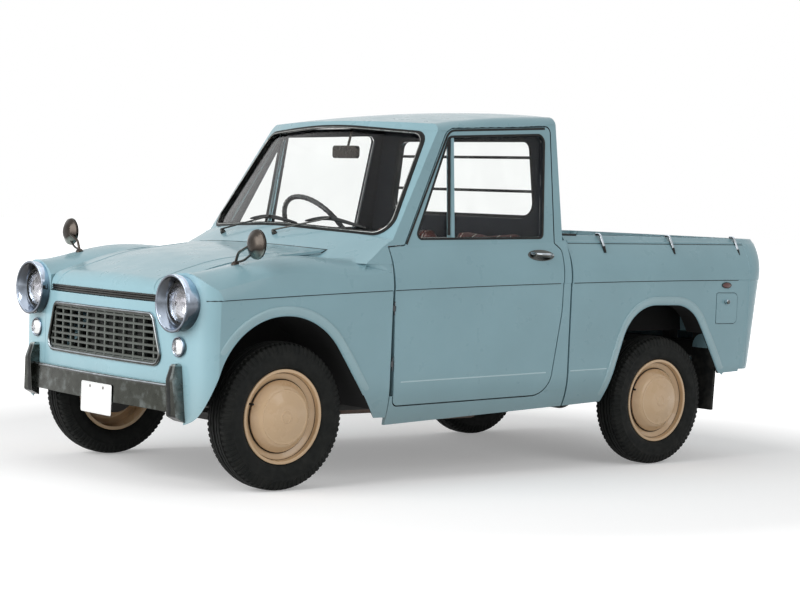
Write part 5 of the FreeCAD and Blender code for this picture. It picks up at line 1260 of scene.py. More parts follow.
# ---- Body trim ----------------------------------------------------------------------------------
@dataclass
class BodyTrim:
    """Trim on the pressings: arch lips and flares, lines, gutters, window borders, handles, stays and hook ends."""

    arches: tuple[tuple[float, float, float, float], ...] = ((FRONT_AXLE_Y, AXLE_Z, 12.0, 168.0),
                                                             (REAR_AXLE_Y, AXLE_Z, 2.0, 180.0))
    tail_bead: tuple[float, float, float] = (1.372, 0.405, 0.930)
    reflector: tuple[float, float] = (1.225, 0.752)
    gutter_width: float = 0.006
    flare_width: float = 0.034
    flare_section: tuple[tuple[float, float], ...] = (
        (0.5, -0.0012), (0.46, 0.0035), (0.36, 0.0052), (0.2, 0.0050), (-0.05, 0.0034), (-0.3, 0.0014), (-0.5, -0.0012))
    window: tuple[tuple[float, float, float], ...] = (
        (-0.4805, 0.9130, 0.018), (0.1722, 0.9300, 0.020), (0.2144, 1.3385, 0.030), (-0.2876, 1.3045, 0.028))
    frame_seal_and_shadow: tuple[tuple[float, float, float], ...] = (
        (-0.5270, 0.8920, 0.0), (-0.2850, 1.3285, 0.055), (0.2180, 1.3625, 0.0))

    def arch_edge(self, skin: Skin, side: Side, axle_y: float, axle_z: float, angle: float) -> tuple[Vector,
                                                                                                     Vector] | None:
        """Finds the edge of a wheel arch in one direction from its axle.

        Args:
            skin: the panels round the arch.
            side: which side of the vehicle.
            axle_y: the axle's place along the vehicle.
            axle_z: the axle's height.
            angle: the direction in degrees, from the tail end over the top.

        Returns:
            The edge's place and the panel's normal there, or None.
        """
        way = (math.cos(math.radians(angle)), math.sin(math.radians(angle)))
        low, high = 0.24, 0.44
        outer = skin.outside(side, axle_y + way[0] * high, axle_z + way[1] * high)
        if outer is None or abs(outer[0].x) < 0.56:
            return None
        for _ in range(14):
            middle = (low + high) / 2
            hit = skin.outside(side, axle_y + way[0] * middle, axle_z + way[1] * middle)
            if hit is not None and abs(hit[0].x) > 0.56:
                high = middle
            else:
                low = middle
        reach = high + 0.0015
        return skin.outside(side, axle_y + way[0] * reach, axle_z + way[1] * reach)

    def arch_lips(self) -> None:
        """A rolled lip round each wheel arch."""
        skin = Skin("front_fenders", "bed_sides", "sills")
        lips = Shape()
        for axle_y, axle_z, start, end in self.arches:
            hits = [self.arch_edge(skin, Side.LEFT, axle_y, axle_z, a) for a in steps(start, end, 60)]
            found = [hit for hit in hits if hit]
            path = [place - normal * 0.003 for place, normal in found]
            section = [(0.0015 + 0.0045 * math.cos(t), 0.0045 * math.sin(t)) for t in turned(10)]
            lips.sweep(path, [normal for _, normal in found], section)
        lips.joined(lips.mirrored()).piece("arch_lips", Body.SHELL, TRIM_ENAMEL, Slot.BODY, angle=60)

    def beads(self) -> None:
        """The pressed seam up each rear corner."""
        skin = Skin("bed_sides", "rear_panel")
        y, low, high = self.tail_bead
        seam = laid_strip([skin.outside(Side.LEFT, y, z) for z in steps(low, high, 30)], 0.005, 0.0014)
        seam.joined(seam.mirrored()).piece("tail_seams", Body.SHELL, TRIM_ENAMEL, Slot.BODY, angle=60)

    def side_reflectors(self) -> None:
        """Oval red reflectors, each in a thin bright rim."""
        skin = Skin("bed_sides")
        hit = skin.outside(Side.LEFT, *self.reflector)
        if hit is None:
            return
        place, normal = hit
        lens = Shape().lathe([(-0.002, 0.0110), (0.0035, 0.0108), (0.0055, 0.0085), (0.0066, 0.0045), (0.0068, 0.0001)],
                             tuple(place), tuple(normal), 40, oval=2.4)
        lens.joined(lens.mirrored()).piece("side_reflectors", Body.SHELL, RED_STUD, Slot.RED)
        rim = Shape().lathe([(-0.002, 0.0132), (0.0040, 0.0130), (0.0052, 0.0121), (0.0040, 0.0109), (-0.001, 0.0108)],
                            tuple(place), tuple(normal), 40, oval=2.25)
        rim.joined(rim.mirrored()).piece("side_reflector_rims", Body.SHELL, DARK_CHROME, Slot.BRIGHT)

    def gutters(self) -> None:
        """A bright folded edge along each roof gutter."""
        skin = Skin("roof_panel")
        low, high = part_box("roof_panel")
        path = []
        for y in steps(low.y + 0.10, high.y - 0.03, 40):
            best = None
            for z in steps(low.z + 0.002, high.z - 0.004, 40):
                hit = skin.outside(Side.LEFT, y, z)
                if hit and (best is None or hit[0].x > best[0].x):
                    best = hit
            if best:
                path.append((best[0], Vector((1, 0, 0.15)).normalized()))
        lip = laid_strip(path, self.gutter_width, 0.0022)
        lip.joined(lip.mirrored()).piece("gutter_edges", Body.SHELL, TRIM_ENAMEL, Slot.BODY, angle=60)

    def crease_lines(self) -> None:
        """The painted shadow line along the side's main crease, and the painted highlight along its lower crease."""
        runs = (("front_fenders", Body.SHELL, Body.SHELL, -1.425, -0.622),
                ("door_left", Body.LEFT_DOOR, Body.RIGHT_DOOR, -0.605, 0.262),
                ("bed_sides", Body.SHELL, Body.SHELL, 0.314, 1.30))
        for node, left, right, start, end in runs:
            skin = Skin(node)
            hits = []
            for y in steps(start, end, 40):
                height = 0.7446 + 0.0337 * y - 0.009 * y * y + 0.0010
                hits.append(skin.outside(Side.LEFT, y, height))
            line = laid_strip(hits, 0.0044, 0.0012, sink=0.0012)
            line.piece(f"{node}_crease", left, CREASE_SHADOW, Slot.BODY)
            line.mirrored().piece(f"{node}_crease_right", right, CREASE_SHADOW, Slot.BODY)
        for node, left, right, start, end in (("door_left", Body.LEFT_DOOR, Body.RIGHT_DOOR, -0.60, 0.215),
                                              ("bed_sides", Body.SHELL, Body.SHELL, 0.314, 0.52)):
            skin = Skin(node)
            # Painted highlight along the lower crease.
            line = laid_strip([skin.outside(Side.LEFT, y, 0.3967 + 0.0262 * y) for y in steps(start, end, 24)], 0.0052,
                              0.0012, sink=0.0006)
            line.piece(f"{node}_low_crease", left, CREASE_HIGHLIGHT, Slot.BODY)
            line.mirrored().piece(f"{node}_low_crease_right", right, CREASE_HIGHLIGHT, Slot.BODY)

    def arch_flares(self) -> None:
        """A soft raised band in the panel round each wheel arch, in a paler enamel that paints a highlight on it."""
        skin = Skin("front_fenders", "bed_sides", "sills")
        flares = Shape()
        for axle_y, axle_z, start, end in self.arches:
            hits = []
            for angle in steps(start, end, 60):
                edge = self.arch_edge(skin, Side.LEFT, axle_y, axle_z, angle)
                if edge is None:
                    continue
                way = Vector((0, math.cos(math.radians(angle)), math.sin(math.radians(angle))))
                place = edge[0] + way * self.flare_width * 0.5
                hits.append(skin.outside(Side.LEFT, place.y, place.z))
            found = [hit for hit in hits if hit and abs(hit[0].x) > 0.56]
            rows = []
            for i, (place, normal) in enumerate(found):
                before, after = found[max(i - 1, 0)][0], found[min(i + 1, len(found) - 1)][0]
                across = (after - before).cross(normal).normalized()
                swell = min(1.0, 7 * i / len(found), 7 * (1 - (i + 1) / len(found))) ** 0.6
                rows.append([place + across * a * self.flare_width + normal * (b * swell - 0.0012 * (1 - swell))
                             for a, b in self.flare_section])
            flares.grid(rows, around=True, ends=True)
        flares.joined(flares.mirrored()).piece("arch_flares", Body.SHELL, FLARE_HIGHLIGHT, Slot.BODY, angle=70)

    def rail_line(self) -> None:
        """The painted shadow line under the bed's top rail."""
        skin = Skin("bed_sides")
        hits = [skin.outside(Side.LEFT, y, 0.9115 + 0.0125 * (y - 0.31)) for y in steps(0.318, 1.37, 60)]
        # Painted shadow under the rail's lip.
        joint = laid_strip(hits, 0.0042, 0.0003, sink=0.0005)
        joint.joined(joint.mirrored()).piece("bed_rail_shadows", Body.SHELL, CREASE_SHADOW, Slot.BODY)
        lip = laid_strip([skin.outside(Side.LEFT, y, 0.9190 + 0.0125 * (y - 0.31)) for y in steps(0.318, 1.37, 60)],
                         0.010, 0.0024)
        lip.joined(lip.mirrored()).piece("bed_rail_lips", Body.SHELL, TRIM_ENAMEL, Slot.BODY, angle=60)

    def hook_ends(self) -> None:
        """A black sleeve on the lower end of each rope hook."""
        sleeves = Shape()
        for y in (0.507, 0.918, 1.325):
            sleeves.tube([Vector((0.6072, y, 0.9040)), Vector((0.6120, y, 0.8915)), Vector((0.6166, y, 0.8780))],
                         0.0064, 12)
        sleeves.joined(sleeves.mirrored()).piece("hook_sleeves", Body.SHELL, SEAL, Slot.RUBBER)

    def window_borders(self) -> None:
        """Black rubber round each door's window and in front of its post, and a black strip along the frame under the
        gutter that stands for the door's seal and the gutter's painted shadow.
        """
        for side, body in ((Side.LEFT, Body.LEFT_DOOR), (Side.RIGHT, Body.RIGHT_DOOR)):
            skin = Skin(f"door_{side.name.lower()}")
            rubber = Shape()
            loop = [skin.outside(side, y, z) for y, z in rounded_line(self.window)]
            found = [hit for hit in loop if hit and abs(hit[0].x) > 0.45]
            section = [(-0.0048, -0.002), (-0.0044, 0.0014), (-0.002, 0.0026), (0.002, 0.0026), (0.0044, 0.0014),
                       (0.0048, -0.002)]
            rubber.sweep([p for p, _ in found], [n for _, n in found], section, loop=True)
            # Partly the door's seal and partly painted shadow: a black strip up the pillar and along the frame under
            # the gutter.
            edge = [skin.outside(side, y, z) for y, z in rounded_line(self.frame_seal_and_shadow, closed=False)]
            rubber.joined(laid_strip([hit for hit in edge if hit and abs(hit[0].x) > 0.45], 0.0085, 0.0022))
            post = [skin.outside(side, -0.298 + (z - 0.92) * 0.0763, z) for z in steps(0.93, 1.288, 24)]
            channel = [(hit[0] + Vector((-side.value * 0.004, -0.0165, 0)), hit[1]) for hit in post if hit]
            rubber.joined(laid_strip(channel, 0.013, 0.003))
            rubber.piece(f"{side.name.lower()}_window_borders", body, SEAL, Slot.RUBBER, angle=50)

    def screen_insert(self) -> None:
        """The thin bright strip let into the windscreen's rubber."""
        skin = Skin("window_seals")
        corners = ((-0.5655, 0.9285, 0.052), (0.0, 0.9515, 3.0), (0.5655, 0.9285, 0.052),
                   (0.4885, 1.3115, 0.054), (0.0, 1.3410, 3.0), (-0.4885, 1.3115, 0.054))
        hits = [skin.front(x, z) for x, z in rounded_line(corners)]
        found = [hit for hit in hits if hit and hit[0].y < -0.1]
        path = [place + Vector((0, -0.0006, 0)) for place, _ in found]
        Shape().tube(path, 0.0019, 8, loop=True).piece("screen_insert", Body.SHELL, DULL_CHROME, Slot.BRIGHT)

    def door_handles(self) -> None:
        """A dished oval plate on each door, with a thick tapered pull handle over it."""
        middle = Vector((0, 0.142, 0.862))
        for side, body in ((Side.LEFT, Body.LEFT_DOOR), (Side.RIGHT, Body.RIGHT_DOOR)):
            tag = side.name.lower()
            skin = Skin(f"door_{tag}")
            rings = []
            for scale, rise in ((1.0, -0.001), (0.985, 0.0022), (0.93, 0.0030), (0.86, 0.0022), (0.72, 0.0008),
                                (0.3, 0.0005)):
                ring = []
                for i in range(40):
                    angle = 2 * math.pi * i / 40
                    hit = skin.outside(side, middle.y + 0.070 * scale * math.cos(angle),
                                       middle.z + 0.0215 * scale * math.sin(angle))
                    ring.append(hit[0] + hit[1] * rise)
                rings.append(ring)
            plate = Shape().grid(rings, around=True, ends=True).piece(f"{tag}_handle_plate", body, DISHED_METAL,
                                                                      Slot.BRIGHT, angle=60)
            base = skin.outside(side, middle.y, middle.z)[0]
            out = Vector((side.value, 0, 0))
            rows = []
            for share in steps(0, 1, 22):
                y = middle.y - 0.052 + 0.116 * share
                lift = 0.004 + 0.019 * math.sin(math.pi * min(1.0, share * 1.12)) ** 0.7
                wide = 0.0062 + 0.0040 * share if share < 0.93 else 0.0060
                thick = 0.0050 if share < 0.93 else 0.0035
                core = Vector((base.x, y, middle.z + 0.0045 - 0.006 * share)) + out * lift
                rows.append([core + out * thick * math.cos(a) + Vector((0, 0, wide * math.sin(a)))
                             for a in turned(14)])
            lever = Shape().grid(rows, around=True, ends=True)
            lever.lathe([(-0.002, 0.0105), (0.003, 0.0100), (0.012, 0.0075), (0.020, 0.0070), (0.0205, 0.0001)],
                        (base.x, middle.y - 0.046, middle.z + 0.003), tuple(out), 24)
            lever.lathe([(0.000, 0.0048), (0.0045, 0.0044), (0.0050, 0.0001)],
                        (base.x + out.x * 0.0185, middle.y - 0.046, middle.z + 0.003), tuple(out), 18)
            pull = lever.piece(f"{tag}_handle_lever", body, CHROME, Slot.BRIGHT)
            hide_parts(f"door_handle_{tag}")
            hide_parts(f"door_handle_{tag}")

    def mirror_stays(self) -> None:
        """The second leg of each fender mirror's stalk, and the rim round its glass."""
        stays = Shape()
        stays.tube(smooth_line([Vector((0.530, -1.254, 0.812)), Vector((0.575, -1.250, 0.822)),
                                Vector((0.616, -1.246, 0.846))], 8),
                   0.0042, 10)
        stays.lathe([(-0.0005, 0.0533), (0.0016, 0.0530), (0.0024, 0.0515), (0.0016, 0.0498), (-0.0005, 0.0495)],
                    (0.631, -1.234, 0.880), (0, 1, 0), 48)
        stays.joined(stays.mirrored()).piece("mirror_stays", Body.SHELL, DARK_CHROME, Slot.BRIGHT)

    def cowl_fillets(self) -> None:
        """The soft rolls that carry the cowl's foot into the fender, in front of the door and round to the bonnet."""
        cowl, fender = Skin("windscreen_frame"), Skin("front_fenders")
        rolls = Shape()
        sides = []
        for share in steps(0, 1, 20):
            y = -0.733 + 0.109 * share
            top = cowl.outside(Side.LEFT, y, 0.8235 + 0.006 * share)
            foot = fender.outside(Side.LEFT, y, 0.8115 - 0.026 * share)
            if top and foot:
                sides.append(self.roll_section(top[0], foot[0], Vector((0.0012, 0, 0))))
        rolls.grid(sides, around=True, ends=True)
        fronts = []
        forward = Vector((0.447, -0.894, 0))
        for share in steps(0, 1, 24):
            joint = Vector((0.462 + 0.150 * share, -0.796 + 0.0755 * share, 0))
            high, low = joint - forward * (0.006 + 0.018 * share), joint + forward * (0.010 + 0.022 * share)
            top, foot = cowl.above(high.x, high.y), fender.above(low.x, low.y)
            if top and foot:
                fronts.append(self.roll_section(top[0], foot[0], Vector((0, 0, -0.0022))))
        rolls.grid(fronts, around=True, ends=True)
        rolls.joined(rolls.mirrored()).piece("cowl_fillets", Body.SHELL, TRIM_ENAMEL, Slot.BODY, angle=80)

    def roll_section(self, top: Vector, foot: Vector, bulge: Vector) -> list[Vector]:
        """One closed slice of a roll between two places, bowed by the bulge, with its ends let into the panels."""
        inward = Vector((-0.010, 0.004, -0.006))
        face = [top.lerp(foot, share) + bulge * 4 * share * (1 - share) for share in steps(0, 1, 7)]
        return [top + inward] + face + [foot + inward]

    def flap_knob(self) -> None:
        """The bright knob on the fuel flap."""
        knob = Shape().lathe([(0.001, 0.0098), (0.0035, 0.0096), (0.0040, 0.0080), (0.0110, 0.0092), (0.0135, 0.0098),
                              (0.0160, 0.0085),
                              (0.0166, 0.0001)], (0.643, 1.226, 0.682), (1, 0, 0), 24)
        knob.piece("fuel_flap_knob", Body.FUEL_FLAP, CHROME, Slot.BRIGHT)

    def bed_corner_bars(self) -> None:
        """A short black stop on each front corner of the bed rail, and the half-round plates over the mud flaps."""
        stops = Shape()
        stops.tube([Vector((0.563, y, 0.9440)) for y in steps(0.309, 0.386, 6)], 0.0066, 12)
        stops.joined(stops.mirrored()).piece("bed_corner_stops", Body.SHELL, SEAL, Slot.RUBBER)
        plates = Shape()
        outline = [Vector((0.552 + 0.054 * math.cos(t), 1.1900, 0.479 + 0.060 * math.sin(t)))
                   for t in steps(0, math.pi, 21)]
        plates.slab(outline, Vector((0, -0.003, 0)), 0.0008)
        for x in (0.520, 0.584):
            plates.lathe([(0, 0.0050), (0.003, 0.0046), (0.0032, 0.0001)], (x, 1.187, 0.489), (0, -1, 0), 6)
        plates.joined(plates.mirrored()).piece("flap_plates", Body.SHELL, TRIM_ENAMEL, Slot.BODY)

    def build(self) -> None:
        """Makes every piece of the body trim."""
        self.crease_lines()
        self.rail_line()
        self.hook_ends()
        self.window_borders()
        self.screen_insert()
        self.door_handles()
        self.mirror_stays()
        self.cowl_fillets()
        self.flap_knob()
        self.bed_corner_bars()
        self.arch_flares()
        self.arch_lips()
        self.beads()
        self.side_reflectors()
        self.gutters()


# ---- Cab ----------------------------------------------------------------------------------------
@dataclass
class SeatPad:
    """One stuffed seat pad: a cushion or a back, puffed out, sewn in channels and edged with piping."""

    name: str
    middle_x: float
    profile: tuple[tuple[float, float], ...]
    half_width: float
    face_way: Point
    channels: int = 5
    puff: float = 0.024

    def loop(self, grow: float, x: float) -> list[Vector]:
        """The pad's side outline at one place across it, drawn in by a distance."""
        ys = [p[0] for p in self.profile]
        zs = [p[1] for p in self.profile]
        cy, cz = sum(ys) / len(ys), sum(zs) / len(zs)
        ring = []
        count = len(self.profile)
        for i, (y, z) in enumerate(self.profile):
            y2, z2 = self.profile[(i + 1) % count]
            for part in (0.0, 0.25, 0.5, 0.75):
                py, pz = y + (y2 - y) * part, z + (z2 - z) * part
                away = Vector((0, cy - py, cz - pz))
                pulled = Vector((x, py, pz)) + away.normalized() * min(grow, away.length * 0.9)
                ring.append(pulled)
        return ring

    def raw(self) -> bpy.types.Object:
        """A closed rounded block, slightly smaller than the finished pad."""
        rows = []
        across = 18
        for i in range(across + 1):
            share = i / across * 2 - 1
            x = self.middle_x + (self.half_width - 0.012) * share
            edge = max(0.0, abs(share) - 0.82) / 0.18
            rows.append(self.loop(0.008 + 0.022 * edge * edge, x))
        shape = Shape().grid(rows, around=True, ends=True)
        mesh = bpy.data.meshes.new(self.name)
        mesh.from_pydata([tuple(p) for p in shape.points], [], shape.faces)
        thing = bpy.data.objects.new(self.name, mesh)
        bpy.context.scene.collection.objects.link(thing)
        work = bmesh.new()
        work.from_mesh(mesh)
        bmesh.ops.recalc_face_normals(work, faces=work.faces)
        work.to_mesh(mesh)
        work.free()
        return thing

    def remeshed(self, thing: bpy.types.Object) -> None:
        """Rebuilds the pad in an even mesh."""
        even = thing.modifiers.new("even", "REMESH")
        even.mode = "VOXEL"
        even.voxel_size = 0.006
        self.apply(thing)

    def apply(self, thing: bpy.types.Object) -> None:
        """Turns the pad's modifiers into its mesh."""
        graph = bpy.context.evaluated_depsgraph_get()
        mesh = bpy.data.meshes.new_from_object(thing.evaluated_get(graph))
        thing.modifiers.clear()
        old = thing.data
        thing.data = mesh
        bpy.data.meshes.remove(old)

    def stuffed(self, thing: bpy.types.Object) -> None:
        """Puffs the pad with cloth under pressure, never further than the cap."""
        rest = [v.co.copy() for v in thing.data.vertices]
        cloth = thing.modifiers.new("stuffing", "CLOTH")
        cloth.settings.use_pressure = True
        cloth.settings.uniform_pressure_force = 4.0
        cloth.settings.effector_weights.gravity = 0.0
        cloth.settings.quality = 4
        cloth.point_cache.frame_start = 1
        cloth.point_cache.frame_end = 20
        for frame in range(1, 21):
            bpy.context.scene.frame_set(frame)
        self.apply(thing)
        bpy.context.scene.frame_set(1)
        for vertex, before in zip(thing.data.vertices, rest):
            moved = vertex.co - before
            if moved.length > self.puff:
                vertex.co = before + moved.normalized() * self.puff

    def seamed(self, thing: bpy.types.Object) -> None:
        """Presses the sewn channels into the pad's face."""
        face = Vector(self.face_way).normalized()
        normals = [v.normal.copy() for v in thing.data.vertices]
        lines = [self.middle_x + self.half_width * 0.72 * (2 * i / (self.channels - 1) - 1)
                 for i in range(self.channels)]
        for vertex, normal in zip(thing.data.vertices, normals):
            facing = max(0.0, normal.dot(face))
            if facing < 0.3:
                continue
            gap = min(abs(vertex.co.x - line) for line in lines)
            vertex.co -= face * 0.006 * facing * math.exp(-(gap / 0.006) ** 2)

    def piping(self, thing: bpy.types.Object) -> bpy.types.Object:
        """Pale cord sewn in down each channel, lying on the pad's face."""
        tree = BVHTree.FromPolygons([v.co.copy() for v in thing.data.vertices],
                                    [tuple(p.vertices) for p in thing.data.polygons])
        face = Vector(self.face_way).normalized()
        along = Vector((0, -face.z, face.y))
        ys = [p[0] for p in self.profile]
        zs = [p[1] for p in self.profile]
        middle = Vector((0, sum(ys) / len(ys), sum(zs) / len(zs)))
        reach = max((Vector((0, y, z)) - middle).dot(along) for y, z in self.profile) * 0.86
        cords = Shape()
        for i in range(self.channels):
            x = self.middle_x + self.half_width * 0.72 * (2 * i / (self.channels - 1) - 1)
            path = []
            for step in steps(-reach, reach, 26):
                start = middle + along * step + face * 0.3
                start.x = x
                place, normal, _, _ = tree.ray_cast(start, -face)
                if place is not None and normal.dot(face) > 0.35:
                    path.append(place + face * 0.0006)
            if len(path) > 3:
                cords.tube(path, 0.0026, 8)
        return cords.piece(self.name + "_piping", Body.SHELL, PIPING, Slot.SEAT)

    def build(self) -> bpy.types.Object:
        """Makes the pad and its piping."""
        thing = self.raw()
        self.remeshed(thing)
        self.stuffed(thing)
        finer = thing.modifiers.new("finer", "SUBSURF")
        finer.levels = 1
        finer.render_levels = 1
        self.apply(thing)
        self.seamed(thing)
        thing.data.shade_smooth()
        thing.data.materials.append(SEAT_VINYL.material())
        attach(thing, Body.SHELL.value)
        self.piping(thing)
        LOG.info("%s: %d faces", self.name, len(thing.data.polygons))
        return thing


@dataclass
class Cab:
    """What shows through the glass: seats, door trims, headlining, dials, inside mirror and horn button."""

    seat_x: float = 0.265
    cushion_profile: tuple[tuple[float, float], ...] = (
        (-0.262, 0.530), (-0.05, 0.516), (0.165, 0.506), (0.176, 0.560), (0.165, 0.612), (-0.05, 0.634),
        (-0.235, 0.646), (-0.272, 0.610))
    back_profile: tuple[tuple[float, float], ...] = (
        (0.132, 0.640), (0.190, 0.634), (0.212, 0.780), (0.231, 0.930), (0.205, 0.958), (0.172, 0.954),
        (0.158, 0.870), (0.142, 0.740))

    def seats(self) -> None:
        """Two cushions and two backs in place of the plain blocks."""
        cushions = []
        backs = []
        for side in Side:
            x = side.value * self.seat_x
            tag = side.name.lower()
            cushions.append(SeatPad(f"{tag}_seat_cushion", x, self.cushion_profile, 0.212, (0, -0.1, 1)).build())
            backs.append(SeatPad(f"{tag}_seat_back", x, self.back_profile, 0.202, (0, -1, 0.13)).build())
        for cushion in cushions:
            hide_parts("seat_cushions")
        for back in backs:
            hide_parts("seat_backs")

    def door_trim(self, side: Side) -> None:
        """A padded card, an arm pull and a window winder on the inside of a door."""
        node = f"door_{side.name.lower()}"
        body = Body.LEFT_DOOR if side is Side.LEFT else Body.RIGHT_DOOR
        skin = Skin(node)
        rows = []
        for z in steps(0.45, 0.80, 9):
            row = []
            for y in steps(-0.50, 0.14, 15):
                hit = skin.meet((0, y, z), (side.value, 0, 0))
                x = abs(hit[0].x) if hit else 0.585
                row.append(Vector((side.value * x, y, z)))
            rows.append(row)
        inset = min(abs(p.x) for row in rows for p in row)
        card = Shape()
        back = [[Vector((side.value * (inset - 0.001), p.y, p.z)) for p in row] for row in rows]
        face = []
        for j, row in enumerate(back):
            swell = [0.004 + 0.004 * abs(math.sin(math.pi * j / 4)) for _ in row]
            face.append([p - Vector((side.value * (s if 0 < i < len(row) - 1 and 0 < j < len(back) - 1 else 0.002), 0,
                                     0))
                         for i, (p, s) in enumerate(zip(row, swell))])
        card.grid(face)
        rim_back = [p for p in back[0]] + [row[-1] for row in back[1:]] + back[-1][-2::-1] + [row[0]
                                                                                              for row in back[-2:0:-1]]
        rim_face = [p for p in face[0]] + [row[-1] for row in face[1:]] + face[-1][-2::-1] + [row[0]
                                                                                              for row in face[-2:0:-1]]
        card.grid([rim_back, rim_face], around=True)
        card.piece(f"{node}_card", body, TRIM_VINYL, Slot.TRIM, angle=70)
        x = side.value * (inset - 0.008)
        pull = Shape().tube([Vector((x, -0.30, 0.70)), Vector((x - side.value * 0.022, -0.27, 0.70)),
                             Vector((x - side.value * 0.026, -0.19, 0.70)),
                             Vector((x - side.value * 0.022, -0.11, 0.70)),
                             Vector((x, -0.08, 0.70))], 0.008, 12)
        pull.lathe([(0, 0.018), (0.006, 0.017), (0.008, 0.010), (0.022, 0.009), (0.022, 0.0001)],
                   (x, -0.40, 0.62), (-side.value, 0, 0), 24)
        pull.tube([Vector((x - side.value * 0.020, -0.40, 0.62)), Vector((x - side.value * 0.022, -0.36, 0.585)),
                   Vector((x - side.value * 0.022, -0.34, 0.565))], 0.005, 10)
        pull.lathe([(0, 0.006), (0.014, 0.008), (0.022, 0.007), (0.024, 0.0001)],
                   (x - side.value * 0.022, -0.34, 0.565),
                   (-side.value, 0, 0), 16)
        pull.piece(f"{node}_winder", body, DULL_CHROME, Slot.BRIGHT)

    def headlining(self) -> None:
        """Cloth stretched under the roof on three hoops."""
        skin = Skin("roof_panel")
        rows = []
        for y in steps(-0.26, 0.20, 24):
            row = []
            for x in steps(-0.40, 0.40, 25):
                hit = skin.meet((x, y, 1.1), (0, 0, 1))
                z = hit[0].z if hit else 1.33
                hoop = 0.004 * abs(math.sin(math.pi * (y + 0.26) / 0.1533))
                row.append(Vector((x, y, min(z, 1.42) - 0.010 + hoop)))
            rows.append(row)
        top = [[p + Vector((0, 0, 0.003)) for p in row] for row in rows]
        cloth = Shape().grid(rows).grid(top)
        cloth.piece("headlining_cloth", Body.SHELL, HEADLINING, Slot.TRIM, angle=80)

    def dials(self) -> None:
        """The instrument face with its bezel and ticks, and knobs along the panel."""
        skin = Skin("dashboard")
        dial_x = -0.25
        hit = skin.meet((dial_x, -0.2, 0.815), (0, -1, 0))
        if hit is None:
            return
        place, normal = hit
        place = place - normal * 0.004
        Shape().lathe([(0.0, 0.046), (0.012, 0.046), (0.0122, 0.0001)], tuple(place), tuple(normal), 48).piece(
            "dial", Body.SHELL, DIAL, Slot.TRIM)
        bezel = Shape().lathe([(0.0, 0.052), (0.012, 0.052), (0.0155, 0.049), (0.0125, 0.0455), (0.004, 0.0455)],
                              tuple(place), tuple(normal), 48)
        knobs = Shape()
        for x in (-0.42, -0.37, -0.14, -0.09, 0.02):
            spot = skin.meet((x, -0.2, 0.80), (0, -1, 0))
            if spot:
                knobs.lathe([(-0.002, 0.004), (0.010, 0.004), (0.011, 0.009), (0.019, 0.010), (0.022, 0.008),
                             (0.0225, 0.0001)],
                            tuple(spot[0]), tuple(spot[1]), 20)
        bezel.joined(knobs).piece("dial_bezel_and_knobs", Body.SHELL, DULL_CHROME, Slot.BRIGHT)
        ticks = Shape()
        across = Vector((1, 0, 0))
        up = normal.cross(across).normalized()
        for i in range(13):
            angle = math.radians(-130 + 260 * i / 12)
            ray = up * math.cos(angle) + across * math.sin(angle)
            side_way = ray.cross(normal).normalized() * 0.0008
            inner, outer = place + normal * 0.0128 + ray * 0.034, place + normal * 0.0128 + ray * 0.042
            ticks.add([inner - side_way, inner + side_way, outer + side_way, outer - side_way], [(0, 1, 2, 3)])
        needle = up * math.cos(math.radians(-130)) + across * math.sin(math.radians(-130))
        tip = place + normal * 0.0140 + needle * 0.036
        side_way = needle.cross(normal).normalized() * 0.0016
        ticks.add([place + normal * 0.014 - side_way, place + normal * 0.014 + side_way, tip], [(0, 1, 2)])
        ticks.piece("dial_ticks", Body.SHELL, PLATE_ENAMEL, Slot.TRIM)

    def steering_details(self) -> None:
        """A horn button with a bright ring on the hub, and finger ribs behind the rim."""
        centre = Vector((-0.250, -0.285, 0.895))
        axis = Vector((0, 0.819, 0.574)).normalized()
        button = Shape().lathe([(0.004, 0.0225), (0.012, 0.0225), (0.016, 0.020), (0.020, 0.012), (0.021, 0.0001)],
                               tuple(centre), tuple(axis), 32)
        button.piece("horn_button", Body.STEERING_WHEEL, DULL_CHROME, Slot.BRIGHT)
        across = Vector((1, 0, 0))
        up = axis.cross(across)
        ribs = Shape()
        for i in range(48):
            angle = 2 * math.pi * i / 48
            out = across * math.cos(angle) + up * math.sin(angle)
            place = centre + out * 0.195
            tangent = axis.cross(out)
            ribs.lathe([(-0.0045, 0.0098), (-0.0030, 0.0112), (0.0030, 0.0112), (0.0045, 0.0098)], tuple(place),
                       tuple(tangent), 10)
        ribs.piece("wheel_rim_ribs", Body.STEERING_WHEEL, HARD_TRIM, Slot.TRIM)

    def mirror_glass(self) -> None:
        """Silvered glass in the inside mirror and in both fender mirrors."""
        outline = [Vector((0.032 + a, -0.3765, 1.239 + b)) for a, b in rounded_rectangle(0.072, 0.021, 0.011)]
        Shape().slab(outline, Vector((0, 0.0012, 0)), 0.0004).piece("inside_mirror_glass", Body.SHELL, MIRROR,
                                                                    Slot.BRIGHT)
        face = Shape().lathe([(-0.001, 0.0470), (0.0010, 0.0465), (0.0014, 0.0400), (0.0016, 0.0001)],
                             (0.631, -1.234, 0.880), (0, 1, 0), 40)
        face.joined(face.mirrored()).piece("fender_mirror_glass", Body.SHELL, MIRROR, Slot.BRIGHT)

    def build(self) -> None:
        """Makes every piece of the cab."""
        self.seats()
        for side in Side:
            self.door_trim(side)
        self.headlining()
        self.dials()
        self.steering_details()
        self.mirror_glass()


